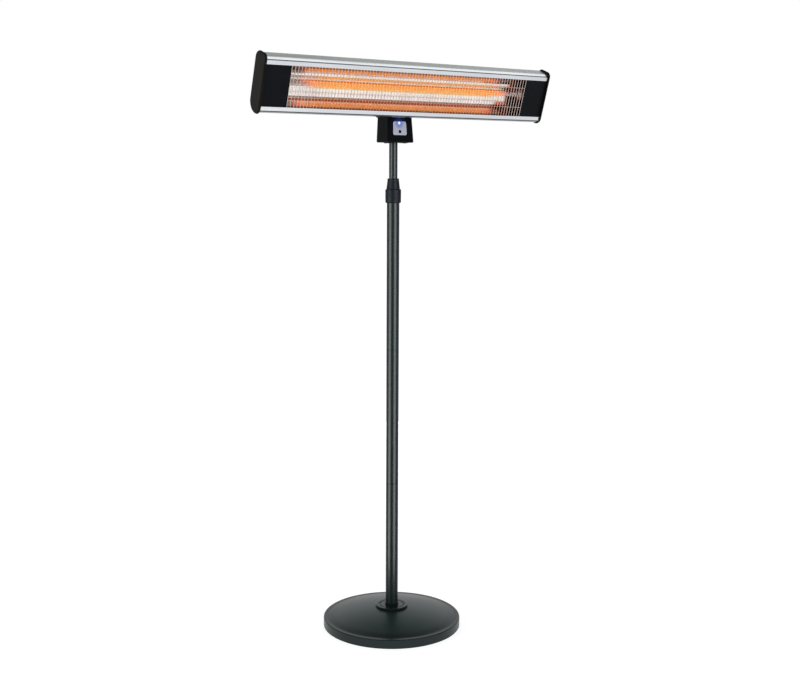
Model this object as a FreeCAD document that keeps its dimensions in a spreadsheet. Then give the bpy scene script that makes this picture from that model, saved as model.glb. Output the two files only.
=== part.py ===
import FreeCAD, Part
import math
import operator
import os
from types import SimpleNamespace

import Sketcher

# Free-standing infrared heater: a long heater head that tilts on a control box, on a telescopic pole with a
# round weighted base. Millimetres, +Z up, X along the head, front towards -Y. The origin is on the floor, on
# the pole's axis.

Vector = FreeCAD.Vector
Rotation = FreeCAD.Rotation

SIZES = {
    # Fits: gaps between pieces
    "fit_gap": 0.1,
    "running_gap": 0.08,
    "seat_gap": 0.3,
    "bolt_gap": 0.5,
    # Base
    "base_diameter": 370.0,
    "base_side_height": 20.9,
    "base_edge_radius": 3.0,
    "base_ledge": 6.0,
    "base_gutter_radius": 20.0,
    "base_gutter_sweep": 16.8,
    "base_height": 49.2,
    "base_dome_radius": 640.0,
    "base_wall": 1.5,
    "floor_gap": 0.4,
    "base_plate_thickness": 2.0,
    "pad_diameter": 24.0,
    "pad_thickness": 4.0,
    "pad_inset": 30.0,
    "weight_inset": 20.0,
    "weight_thickness": 15.0,
    "weight_chamfer": 3.0,
    "hub_diameter": 60.0,
    "bolt_recess_diameter": 30.0,
    "bolt_recess_depth": 10.0,
    "base_bolt_diameter": 10.0,
    "base_bolt_across": 17.0,
    "base_bolt_head": 6.4,
    "base_bolt_grip": 34.0,
    "base_washer_diameter": 24.0,
    "base_washer_thickness": 2.0,
    "flange_diameter": 87.0,
    "flange_height": 6.0,
    "flange_lip_radius": 2.5,
    "flange_groove_diameter": 68.0,
    "flange_groove_width": 3.0,
    "flange_groove_depth": 2.5,
    "flange_hub_wall": 1.5,
    "flange_hub_height": 5.0,
    "flange_hub_chamfer": 1.0,
    # Pole
    "pole_diameter": 33.2,
    "pole_wall": 1.2,
    "tube_chamfer": 0.6,
    "lower_section": 345.0,
    "middle_section": 363.0,
    "upper_section": 410.0,
    "foot_plug_length": 40.0,
    "coupler_length": 60.0,
    "coupler_wall": 3.0,
    # Height clamp
    "collar_diameter": 41.0,
    "collar_height": 36.2,
    "collar_overlap": 25.7,
    "collar_chamfer": 2.2,
    "collar_ledge": 4.0,
    "neck_wall": 1.8,
    "neck_height": 14.5,
    "collet_wall": 1.6,
    "collet_slot": 1.2,
    "collet_foot": 5.0,
    "nut_height": 26.8,
    "nut_foot_diameter": 35.2,
    "nut_top_diameter": 29.6,
    "nut_roof": 8.5,
    "nut_rim": 2.6,
    # Mast
    "mast_diameter": 22.0,
    "mast_wall": 1.2,
    "mast_overlap": 280.0,
    "mast_show": 91.6,
    "mast_insert": 37.0,
    "glide_length": 35.0,
    # Control box
    "box_width": 82.4,
    "box_top_width": 75.6,
    "box_front": 34.0,
    "box_back": 19.5,
    "box_height": 62.8,
    "box_front_lean": 3.7,
    "box_wall": 2.5,
    "box_edge_radius": 3.5,
    "lid_flare": 4.5,
    "lid_height": 9.0,
    "lid_edge_radius": 2.5,
    "socket_wall": 2.9,
    "socket_flange": 2.5,
    "socket_roof": 3.0,
    "socket_screw_diameter": 5.0,
    "socket_screw_height": 20.0,
    "panel_offset": -3.4,
    "panel_rise": 18.6,
    "panel_width": 43.0,
    "panel_top_width": 39.5,
    "panel_height": 34.7,
    "panel_corner_radius": 4.5,
    "panel_thickness": 1.2,
    "button_height": 9.0,
    "button_diameter": 8.0,
    "button_proud": 1.0,
    "button_travel": 1.2,
    "button_flange": 1.4,
    "button_clearance": 0.25,
    "led_height": 30.7,
    "led_offset": -1.4,
    "led_diameter": 3.2,
    "board_depth": 8.0,
    "board_width": 58.0,
    "board_height": 43.0,
    "board_drop": 10.0,
    "board_thickness": 1.6,
    "standoff_diameter": 5.0,
    "standoff_inset": 4.0,
    "tact_width": 6.0,
    "receiver_width": 6.0,
    "receiver_height": 7.0,
    "receiver_thickness": 4.0,
    "relay_width": 15.0,
    "relay_height": 18.0,
    "relay_thickness": 8.0,
    "gland_place": 27.0,
    "gland_forward": 9.0,
    "gland_bore": 7.2,
    "gland_neck_diameter": 12.4,
    "gland_flange_diameter": 16.0,
    "gland_proud": 2.0,
    "gland_nut_height": 4.5,
    "switch_across": 24.0,
    "switch_forward": 10.0,
    "rocker_width": 11.0,
    "rocker_length": 15.6,
    "rocker_angle": 7.0,
    "rocker_proud": 0.8,
    "rocker_height": 6.5,
    "rocker_pin_diameter": 2.0,
    "rocker_clearance": 0.6,
    "switch_wall": 0.8,
    "switch_lip": 1.0,
    "switch_lip_thickness": 0.8,
    "switch_depth": 12.0,
    "tip_switch_width": 14.0,
    "tip_switch_length": 10.0,
    "tip_switch_height": 14.0,
    "tip_switch_across": 19.0,
    # Tilt hinge
    "pivot_forward": 18.0,
    "pivot_rise": 24.0,
    "yoke_width": 60.0,
    "yoke_thickness": 3.0,
    "yoke_ear_radius": 10.0,
    "yoke_back": 10.0,
    "washer_thickness": 0.8,
    "washer_diameter": 17.0,
    "tilt_bolt_diameter": 8.0,
    "tilt_bolt_across": 13.0,
    "tilt_bolt_head": 5.3,
    "tilt_nut_height": 6.5,
    "tilt_bolt_end": 2.0,
    "bracket_thickness": 2.5,
    "bracket_eye_radius": 9.0,
    "bracket_top": 8.0,
    "bracket_bottom": -33.0,
    "bracket_heel": 6.0,
    "screw_diameter": 4.0,
    "screw_head_diameter": 7.6,
    "screw_head_height": 2.4,
    "yoke_screw_length": 10.0,
    "yoke_screw_across": 36.0,
    "bracket_screw_length": 5.5,
    "bracket_screw_across": 28.0,
    "bracket_screw_edge": 13.0,
    # Heater head
    "head_reach": 91.2,
    "head_rise": 122.1,
    "head_tilt": 16.7,
    "head_length": 874.0,
    "head_depth": 42.0,
    "opening_height": 98.8,
    "rail_face": 10.65,
    "rail_face_wall": 2.2,
    "rail_slot": 1.8,
    "rail_slot_depth": 8.6,
    "rail_rib": 1.8,
    "rail_rib_inset": 2.0,
    "rail_wall": 2.0,
    "rail_notch": 1.3,
    "rail_notch_depth": 1.6,
    "shoulder_depth": 13.0,
    "shoulder_rise": 6.85,
    "shoulder_radius": 28.0,
    "crown_rise": 3.3,
    "upper_corner_radius": 8.0,
    "lower_corner_radius": 30.5,
    "lower_corner_height": 36.0,
    "rail_leg": 11.0,
    "back_panel_thickness": 1.5,
    "back_panel_margin": 3.0,
    "panel_screw_diameter": 3.2,
    "panel_screw_length": 4.5,
    "panel_screw_head": 6.4,
    "panel_screw_head_height": 1.8,
    "panel_screw_inset": 25.0,
    "panel_screw_edge": 5.0,
    "cap_thickness": 4.9,
    "cap_top_proud": 4.0,
    "cap_slope": 1.3,
    "cap_foot_proud": 2.8,
    "cap_back_proud": 1.4,
    "cap_front_proud": 4.4,
    "cap_edge_radius": 4.0,
    "cap_front_radius": 13.5,
    "cap_foot_radius": 17.5,
    "cap_upper_radius": 16.0,
    "cap_lower_radius": 31.5,
    "cap_spigot_length": 12.0,
    "cap_spigot_height": 50.0,
    "cap_spigot_depth": 18.0,
    "end_plate_length": 71.5,
    "guard_thickness": 1.5,
    "guard_wire": 1.6,
    "guard_border": 2.0,
    "guard_bar_height": 26.0,
    "reflector_inset": 3.5,
    "reflector_thickness": 0.8,
    "reflector_lip": 5.0,
    "reflector_depth": 36.5,
    "reflector_top_depth": 17.1,
    "reflector_upper_depth": 32.6,
    "reflector_upper_height": 25.0,
    "reflector_step": 6.0,
    "reflector_back_top": 11.8,
    "reflector_back_bottom": -28.5,
    "lamp_depth": 20.0,
    "lamp_height": 4.9,
    "lamp_inset": 7.5,
    "quartz_diameter": 12.0,
    "quartz_wall": 1.0,
    "element_diameter": 6.4,
    "lamp_cap_diameter": 14.0,
    "lamp_cap_length": 18.0,
    "holder_place": 7.0,
    "holder_thickness": 1.5,
    "holder_rim": 6.5,
    "holder_foot_length": 11.0,
    "holder_neck": 16.0,
    "cutout_diameter": 14.0,
    "cutout_thickness": 4.0,
    "cutout_across": 120.0,
    "terminal_width": 50.0,
    "terminal_depth": 11.0,
    "terminal_height": 9.0,
}

# Counts, which are no lengths
PAD_COUNT = 6
GUARD_COLUMNS = 79
PANEL_SCREW_STEPS = (-2, -1, 1, 2)
SIDES = (-1, 1)
HEX = 6
RIGHT_ANGLE = 90

# Which way an arc of an outline turns on its way to the next corner
LEFT = 1
RIGHT = -1

PLACES = {"x": "Placement.Base.x", "y": "Placement.Base.y", "z": "Placement.Base.z"}
ALONG = {"x": Rotation(Vector(0, 1, 0), 90), "y": Rotation(Vector(1, 0, 0), -90), "z": Rotation()}
OPERATIONS = {"+": operator.add, "-": operator.sub, "*": operator.mul, "/": operator.truediv}


class Size:
    """A size that knows its number and the formula that gives it from the sheet."""

    def __init__(self, number, formula):
        self.number = number
        self.formula = formula

    def __add__(self, other):
        return joined(self, "+", other)

    def __radd__(self, other):
        return joined(other, "+", self)

    def __sub__(self, other):
        return joined(self, "-", other)

    def __rsub__(self, other):
        return joined(other, "-", self)

    def __mul__(self, other):
        return joined(self, "*", other)

    def __rmul__(self, other):
        return joined(other, "*", self)

    def __truediv__(self, other):
        return joined(self, "/", other)

    def __neg__(self):
        return joined(0, "-", self)


def as_size(thing):
    """A size as it is, and a plain number as a size."""
    if isinstance(thing, Size):
        return thing
    return Size(float(thing), f"({float(thing)})")


def joined(left, sign, right):
    """Two sizes, or a size and a plain number, in one formula."""
    left = as_size(left)
    right = as_size(right)
    number = OPERATIONS[sign](left.number, right.number)
    return Size(number, f"({left.formula} {sign} {right.formula})")


def sine(angle):
    return Size(math.sin(math.radians(angle.number)), f"sin({angle.formula})")


def cosine(angle):
    return Size(math.cos(math.radians(angle.number)), f"cos({angle.formula})")


def tangent(angle):
    return sine(angle) / cosine(angle)


def make_sheet():
    """The spreadsheet with one named cell for each driving size."""
    sheet = doc.addObject("Spreadsheet::Sheet", "Sizes")
    for row, (alias, number) in enumerate(SIZES.items(), start=1):
        sheet.set(f"A{row}", alias)
        sheet.set(f"B{row}", str(number))
        sheet.setAlias(f"B{row}", alias)
    doc.recompute()
    return SimpleNamespace(**{alias: Size(number, f"Sizes.{alias}") for alias, number in SIZES.items()})


def bind(thing, **sizes):
    """Holds an object's properties at sizes: x, y and z are its place, other names its own properties."""
    for name, size in sizes.items():
        thing.setExpression(PLACES.get(name, name), as_size(size).formula)


def sub_part(kind, label):
    """A new object of the document that is one sub-part of the heater."""
    thing = doc.addObject(kind, label)
    thing.Label = label
    sub_parts.append(thing)
    return thing


def arc_between(start, finish, radius, turn):
    """The shorter arc from start to finish that turns left or right."""
    chord = finish - start
    left = Vector(-chord.y, chord.x, 0).normalize()
    height = math.sqrt(radius ** 2 - (chord.Length / 2) ** 2)
    centre = (start + finish) / 2 + left * (height * turn)
    first, last = (start, finish) if turn == LEFT else (finish, start)
    angles = [math.atan2(point.y - centre.y, point.x - centre.x) for point in (first, last)]
    return Part.ArcOfCircle(Part.Circle(centre, Vector(0, 0, 1), radius), *angles)


def outline(body, plane_role, corners):
    """A closed sketch through corners (across, up). A corner with a radius and a turn leads on by an arc."""
    sketch = body.newObject("Sketcher::SketchObject", body.Name + "_outline")
    plane = next(part for part in body.Origin.OriginFeatures if part.Role == plane_role)
    sketch.AttachmentSupport = (plane, [""])
    sketch.MapMode = "FlatFace"
    points = [Vector(as_size(corner[0]).number, as_size(corner[1]).number, 0) for corner in corners]
    ends = []
    for index, corner in enumerate(corners):
        start = points[index]
        finish = points[(index + 1) % len(points)]
        if len(corner) == 2:
            sketch.addGeometry(Part.LineSegment(start, finish), False)
            ends.append((1, 2))
            continue
        radius, turn = corner[2:]
        sketch.addGeometry(arc_between(start, finish, radius.number, turn), False)
        ends.append((1, 2) if turn == LEFT else (2, 1))
    for index, (first, last) in enumerate(ends):
        after = (index + 1) % len(ends)
        sketch.addConstraint(Sketcher.Constraint("Coincident", index, last, after, ends[after][0]))
    for index, corner in enumerate(corners):
        rules = [("DistanceX", corner[0]), ("DistanceY", corner[1])]
        for rule, size in rules:
            size = as_size(size)
            place = Sketcher.Constraint(rule, -1, 1, index, ends[index][0], size.number)
            number = sketch.addConstraint(place)
            sketch.setExpression(f"Constraints[{number}]", size.formula)
        if len(corner) > 2:
            number = sketch.addConstraint(Sketcher.Constraint("Radius", index, corner[2].number))
            sketch.setExpression(f"Constraints[{number}]", corner[2].formula)
    return sketch


def turned(label, corners):
    """A sub-part turned about the Z axis from corners (radius, height)."""
    body = sub_part("PartDesign::Body", label)
    sketch = outline(body, "XZ_Plane", corners)
    feature = body.newObject("PartDesign::Revolution", label + "_turning")
    feature.Profile = sketch
    feature.ReferenceAxis = (sketch, ["V_Axis"])
    feature.Angle = 360
    return body


def extruded(label, corners, width, plane_role="YZ_Plane", side="Symmetric"):
    """A sub-part of one section, given by corners on a plane, drawn out to a width."""
    body = sub_part("PartDesign::Body", label)
    feature = body.newObject("PartDesign::Pad", label + "_pad")
    feature.Profile = outline(body, plane_role, corners)
    feature.SideType = side
    bind(feature, Length=width)
    return body


def block(body, x, y, z, kind="Additive"):
    """A box between two sizes on each axis, added to a body or taken from it."""
    feature = body.newObject(f"PartDesign::{kind}Box", body.Name + "_block")
    for axis, side, (low, high) in zip("xyz", ("Length", "Width", "Height"), (x, y, z)):
        bind(feature, **{axis: low, side: as_size(high) - low})
    return feature


def rod(body, along, radius, low, high, x=0, y=0, z=0, kind="Additive"):
    """A cylinder along one axis from low to high, added to a body or taken from it."""
    feature = body.newObject(f"PartDesign::{kind}Cylinder", body.Name + "_rod")
    feature.Placement = FreeCAD.Placement(Vector(), ALONG[along])
    place = {"x": x, "y": y, "z": z}
    place[along] = low
    bind(feature, Radius=radius, Height=as_size(high) - low, **place)
    return feature


def hole(body, along, radius, low, high, x=0, y=0, z=0):
    return rod(body, along, radius, low, high, x, y, z, kind="Subtractive")


def wedge(body, low, high, foot, top, kind="Additive"):
    """A tapered block that stands from low to high. Its foot and top are (left, right, behind, ahead)."""
    feature = body.newObject(f"PartDesign::{kind}Wedge", body.Name + "_wedge")
    feature.Placement = FreeCAD.Placement(Vector(), Rotation(Vector(1, 0, 0), 90))
    bind(feature, Ymin=0, Ymax=as_size(high) - low, z=low)
    bind(feature, Xmin=foot[0], Xmax=foot[1], Zmin=foot[2], Zmax=foot[3])
    bind(feature, X2min=top[0], X2max=top[1], Z2min=top[2], Z2max=top[3])
    return feature


def rounded(body, base, radius, chosen):
    """Rounds the edges of a feature that a test picks by their middle points."""
    doc.recompute()
    names = []
    for number, edge in enumerate(base.Shape.Edges, start=1):
        if chosen(edge):
            names.append(f"Edge{number}")
    feature = body.newObject("PartDesign::Fillet", body.Name + "_rounding")
    feature.Base = (base, names)
    bind(feature, Radius=radius)
    return feature


def middle_of(edge):
    return edge.valueAt((edge.FirstParameter + edge.LastParameter) / 2)


def primitive(kind, label, along="z", **sizes):
    """A simple solid that goes into a group or a fused sub-part."""
    thing = doc.addObject("Part::" + kind, label)
    thing.Placement = FreeCAD.Placement(Vector(), ALONG[along])
    bind(thing, **sizes)
    return thing


def headed(kind, label, along, place, shank, length, head, height):
    """A screw or bolt: a head of some kind stands on the surface at a place, with its shank going in."""
    offset = dict(place)
    offset[along] = as_size(place[along]) - length
    shaft = primitive("Cylinder", label + "_shank", along, Radius=shank / 2, Height=length, **offset)
    if kind == "Prism":
        cap = primitive("Prism", label + "_head", along, Circumradius=head / 2, Height=height, **place)
        cap.Polygon = HEX
    else:
        cap = primitive("Cylinder", label + "_head", along, Radius=head / 2, Height=height, **place)
    whole = doc.addObject("Part::Fuse", label + "_whole")
    whole.Base = shaft
    whole.Tool = cap
    return whole


def grouped(label, solids):
    """Identical pieces as one sub-part of separate solids."""
    group = sub_part("Part::Compound", label)
    group.Links = solids
    return group


def on_head(thing, x=0):
    """Places a sub-part that is drawn about the centre of the head's face, which looks along -Y there."""
    thing.Placement = FreeCAD.Placement(Vector(), Rotation(Vector(1, 0, 0), s.head_tilt.number))
    bind(thing, x=x, y=-s.head_reach, z=head_z)
    thing.setExpression("Placement.Rotation.Angle", s.head_tilt.formula)
    return thing


def on_front(thing):
    """Places a sub-part that is drawn about the panel's foot, on the leaning front of the control box."""
    thing.Placement = FreeCAD.Placement(Vector(), Rotation(Vector(-1, 0, 0), s.box_front_lean.number))
    bind(thing, x=s.panel_offset, y=-panel_front, z=panel_z)
    thing.setExpression("Placement.Rotation.Angle", s.box_front_lean.formula)
    return thing


def front_rod(body, radius, low, high, across, height, kind="Additive"):
    """A cylinder square to the leaning front, from low to high behind its face, in the box's own frame."""
    feature = body.newObject(f"PartDesign::{kind}Cylinder", body.Name + "_front_rod")
    lean = s.box_front_lean
    turn = RIGHT_ANGLE + lean
    feature.Placement = FreeCAD.Placement(Vector(), Rotation(Vector(-1, 0, 0), turn.number))
    feature.setExpression("Placement.Rotation.Angle", turn.formula)
    forward = panel_front - low * cosine(lean) - height * sine(lean)
    up = panel_z - low * sine(lean) + height * cosine(lean)
    bind(feature, Radius=radius, Height=as_size(high) - low, x=s.panel_offset + across, y=-forward, z=up)
    return feature


def base_parts():
    """Cover, weight, plate, pads and the bolt that ties them to the pole."""
    wall = s.base_wall
    edge = s.base_edge_radius
    edge_place = base_radius - edge
    ledge_top = s.base_side_height + edge
    gutter_place = edge_place - s.base_ledge
    gutter = s.base_gutter_radius
    across = sine(s.base_gutter_sweep)
    upwards = cosine(s.base_gutter_sweep)
    dome_foot = ledge_top + gutter - gutter * upwards
    under = s.base_height - wall
    flat = s.flange_diameter / 2 + wall
    bolt_hole = s.base_bolt_diameter / 2 + s.bolt_gap
    turned("base_cover", [
        (base_radius, s.floor_gap),
        (base_radius, s.base_side_height, edge, LEFT),
        (edge_place, ledge_top),
        (gutter_place, ledge_top, gutter, RIGHT),
        (gutter_place - gutter * across, dome_foot, s.base_dome_radius, LEFT),
        (flat, s.base_height),
        (bolt_hole, s.base_height),
        (bolt_hole, under),
        (flat, under, s.base_dome_radius - wall, RIGHT),
        (gutter_place - (gutter + wall) * across, dome_foot - wall * upwards, gutter + wall, LEFT),
        (gutter_place, ledge_top - wall),
        (edge_place, ledge_top - wall, edge - wall, RIGHT),
        (base_radius - wall, s.base_side_height),
        (base_radius - wall, s.floor_gap),
    ])
    recess = s.bolt_recess_diameter / 2
    weight_radius = base_radius - s.weight_inset
    weight_top = plate_top + s.weight_thickness
    turned("base_weight", [
        (recess, plate_top),
        (weight_radius - s.weight_chamfer, plate_top),
        (weight_radius, plate_top + s.weight_chamfer),
        (weight_radius, weight_top - s.weight_chamfer),
        (weight_radius - s.weight_chamfer, weight_top),
        (s.hub_diameter / 2, weight_top),
        (s.hub_diameter / 2, under),
        (bolt_hole, under),
        (bolt_hole, recess_top),
        (recess, recess_top),
    ])
    plate_edge = base_radius - wall - s.seat_gap
    turned("base_plate", [
        (recess, s.pad_thickness),
        (plate_edge, s.pad_thickness),
        (plate_edge, plate_top),
        (recess, plate_top),
    ])
    pads = []
    pad_circle = base_radius - s.pad_inset
    for index in range(PAD_COUNT):
        turn = 2 * math.pi * index / PAD_COUNT
        place = {"x": pad_circle * math.cos(turn), "y": pad_circle * math.sin(turn)}
        pads.append(primitive("Cylinder", f"pad_{index + 1}", Radius=s.pad_diameter / 2,
                              Height=s.pad_thickness, **place))
    grouped("base_pads", pads)
    washer_foot = recess_top - s.base_washer_thickness
    turned("base_washer", [
        (bolt_hole, washer_foot),
        (s.base_washer_diameter / 2, washer_foot),
        (s.base_washer_diameter / 2, recess_top),
        (bolt_hole, recess_top),
    ])
    bolt = sub_part("PartDesign::Body", "base_bolt")
    head = bolt.newObject("PartDesign::AdditivePrism", "base_bolt_head_block")
    head.Polygon = HEX
    bind(head, Circumradius=s.base_bolt_across / 2 / math.cos(math.pi / HEX), Height=s.base_bolt_head,
         z=washer_foot - s.base_bolt_head)
    rod(bolt, "z", s.base_bolt_diameter / 2, washer_foot - s.base_bolt_head, s.base_height + s.base_bolt_grip)


def pole_parts():
    """Flange, foot plug, three tube sections and the couplers inside their seams."""
    foot = s.base_height
    top = foot + s.flange_height
    lip = s.flange_lip_radius
    outer = s.flange_diameter / 2
    groove = s.flange_groove_diameter / 2
    bore = pole_radius + s.fit_gap
    hub = bore + s.flange_hub_wall
    hub_top = top + s.flange_hub_height
    turned("pole_flange", [
        (bore, foot),
        (outer, foot),
        (outer, top - lip, lip, LEFT),
        (outer - lip, top),
        (groove, top),
        (groove, top - s.flange_groove_depth),
        (groove - s.flange_groove_width, top - s.flange_groove_depth),
        (groove - s.flange_groove_width, top),
        (hub, top),
        (hub, hub_top - s.flange_hub_chamfer),
        (hub - s.flange_hub_chamfer, hub_top),
        (bore, hub_top),
    ])
    plug = pole_bore - s.fit_gap
    thread = s.base_bolt_diameter / 2 + s.fit_gap
    turned("pole_foot_plug", [
        (thread, foot),
        (plug, foot),
        (plug, foot + s.foot_plug_length),
        (thread, foot + s.foot_plug_length),
    ])
    levels = {"pole_lower_tube": (foot, lower_seam), "pole_middle_tube": (lower_seam, upper_seam),
              "pole_upper_tube": (upper_seam, pole_top)}
    for label, (low, high) in levels.items():
        turned(label, [
            (pole_bore, low),
            (pole_radius - s.tube_chamfer, low),
            (pole_radius, low + s.tube_chamfer),
            (pole_radius, high - s.tube_chamfer),
            (pole_radius - s.tube_chamfer, high),
            (pole_bore, high),
        ])
    for label, seam in (("pole_coupler_lower", lower_seam), ("pole_coupler_upper", upper_seam)):
        turned(label, [
            (plug - s.coupler_wall, seam - s.coupler_length / 2),
            (plug, seam - s.coupler_length / 2),
            (plug, seam + s.coupler_length / 2),
            (plug - s.coupler_wall, seam + s.coupler_length / 2),
        ])


def clamp_parts():
    """The collar on the pole's end, the split collet in its neck and the tapered nut that squeezes it."""
    chamfer = s.collar_chamfer
    collar = s.collar_diameter / 2
    grip = mast_radius + s.running_gap
    collet = grip + s.collet_wall
    neck_bore = collet + s.fit_gap
    neck = neck_bore + s.neck_wall
    neck_top = collar_top + s.neck_height
    ledge_top = pole_top + s.collar_ledge
    turned("collar_sleeve", [
        (pole_radius + s.fit_gap, collar_foot),
        (collar - chamfer, collar_foot),
        (collar, collar_foot + chamfer),
        (collar, collar_top - chamfer),
        (collar - chamfer, collar_top),
        (neck, collar_top),
        (neck, neck_top),
        (neck_bore, neck_top),
        (neck_bore, ledge_top),
        (mast_radius + s.seat_gap, ledge_top),
        (mast_radius + s.seat_gap, pole_top),
        (pole_radius + s.fit_gap, pole_top),
    ])
    collet_top = nut_top - s.nut_roof - s.seat_gap
    body = turned("collet", [
        (grip, ledge_top),
        (collet, ledge_top),
        (collet, collet_top - s.collet_wall / 2),
        (collet - s.collet_wall / 2, collet_top),
        (grip, collet_top),
    ])
    across = (-s.collar_diameter, s.collar_diameter)
    slit = (-s.collet_slot / 2, s.collet_slot / 2)
    upwards = (ledge_top + s.collet_foot, nut_top)
    block(body, across, slit, upwards, kind="Subtractive")
    block(body, slit, across, upwards, kind="Subtractive")
    nut_foot = collar_top + s.seat_gap
    nut_radius = s.nut_top_diameter / 2
    roof = nut_top - s.nut_roof
    turned("clamp_nut", [
        (neck + s.seat_gap, nut_foot),
        (s.nut_foot_diameter / 2, nut_foot),
        (nut_radius, nut_top - s.nut_rim),
        (nut_radius + s.nut_rim / 5, nut_top - s.nut_rim * 4 / 5),
        (nut_radius + s.nut_rim / 5, nut_top - s.nut_rim / 5),
        (nut_radius - s.nut_rim / 5, nut_top),
        (mast_radius + s.seat_gap, nut_top),
        (mast_radius + s.seat_gap, roof),
        (neck + s.seat_gap, roof),
    ])


def mast_parts():
    """The tube that slides in the pole and the bush that guides its lower end."""
    turned("extension_tube", [
        (mast_radius - s.mast_wall, mast_foot),
        (mast_radius, mast_foot),
        (mast_radius, mast_top),
        (mast_radius - s.mast_wall, mast_top),
    ])
    turned("glide_bush", [
        (mast_radius + s.fit_gap, mast_foot),
        (pole_bore - s.running_gap, mast_foot),
        (pole_bore - s.running_gap, mast_foot + s.glide_length),
        (mast_radius + s.fit_gap, mast_foot + s.glide_length),
    ])


def control_housing():
    """The open-topped box with its floor holes, front holes and the posts for the board."""
    body = sub_part("PartDesign::Body", "control_housing")
    half = s.box_width / 2
    half_top = s.box_top_width / 2
    shell = wedge(body, box_foot, box_top, (-half, half, -s.box_back, s.box_front),
                  (-half_top, half_top, -s.box_back, box_top_front))
    below = (box_top - s.box_wall).number
    rounded(body, shell, s.box_edge_radius, lambda edge: middle_of(edge).z < below)
    floor_half = half - (half - half_top) * s.box_wall / s.box_height
    floor_front = s.box_front - s.box_wall * tangent(s.box_front_lean)
    wall = s.box_wall
    hollow_foot = (wall - floor_half, floor_half - wall, wall - s.box_back, floor_front - wall)
    hollow_top = (wall - half_top, half_top - wall, wall - s.box_back, box_top_front - wall)
    wedge(body, box_floor, box_top, hollow_foot, hollow_top, kind="Subtractive")
    for side in SIDES:
        for height in (s.standoff_inset - s.board_drop, s.board_height - s.board_drop - s.standoff_inset):
            front_rod(body, s.standoff_diameter / 2, wall / 2, s.board_depth,
                      (s.board_width / 2 - s.standoff_inset) * side, height)
    hole(body, "z", mast_radius + s.bolt_gap, box_foot, box_floor)
    hole(body, "z", s.gland_neck_diameter / 2 + s.fit_gap, box_foot, box_floor, x=-s.gland_place,
         y=-s.gland_forward)
    across = switch_half_width + s.fit_gap
    ahead = switch_half_length + s.fit_gap
    block(body, (s.switch_across - across, s.switch_across + across),
          (-s.switch_forward - ahead, ahead - s.switch_forward), (box_foot, box_floor), kind="Subtractive")
    front_rod(body, button_hole, -wall, wall * 2, as_size(0), s.button_height, kind="Subtractive")
    front_rod(body, led_hole, -wall, wall * 2, s.led_offset, s.led_height, kind="Subtractive")


def control_lid():
    """The lid, which flares out over the box's walls and carries the tilt yoke."""
    body = sub_part("PartDesign::Body", "control_lid")
    half = s.box_top_width / 2
    flare = s.lid_flare
    wide = (-half - flare, half + flare, -s.box_back - flare, box_top_front + flare)
    wedge(body, box_top, box_top + flare, (-half, half, -s.box_back, box_top_front), wide)
    slab = block(body, (wide[0], wide[1]), (-wide[3], -wide[2]), (box_top + flare, lid_top))
    rounded(body, slab, s.lid_edge_radius, is_upright)
    for x, y in yoke_screw_places():
        hole(body, "z", s.screw_diameter / 2 + s.fit_gap, lid_top + s.yoke_thickness - s.yoke_screw_length
             - s.fit_gap, lid_top, x=x, y=y)


def is_upright(edge):
    ends = [vertex.Point for vertex in edge.Vertexes]
    rise = (ends[-1] - ends[0])
    return len(ends) == 2 and abs(rise.z) > 0.99 * rise.Length


def socket_parts():
    """The cup in the box that takes the mast, and its grub screw."""
    bore = mast_radius + s.running_gap
    outer = bore + s.socket_wall
    roof = mast_top + s.seat_gap
    body = turned("pole_socket", [
        (bore, box_floor),
        (outer + s.socket_flange, box_floor),
        (outer + s.socket_flange, box_floor + s.socket_flange),
        (outer, box_floor + s.socket_flange),
        (outer, roof + s.socket_roof),
        (0, roof + s.socket_roof),
        (0, roof),
        (bore, roof),
    ])
    level = box_floor + s.socket_screw_height
    hole(body, "y", s.socket_screw_diameter / 2 + s.fit_gap, 0, outer * 2, z=level)
    screw = sub_part("PartDesign::Body", "socket_screw")
    rod(screw, "y", s.socket_screw_diameter / 2, bore, outer, z=level)


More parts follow.
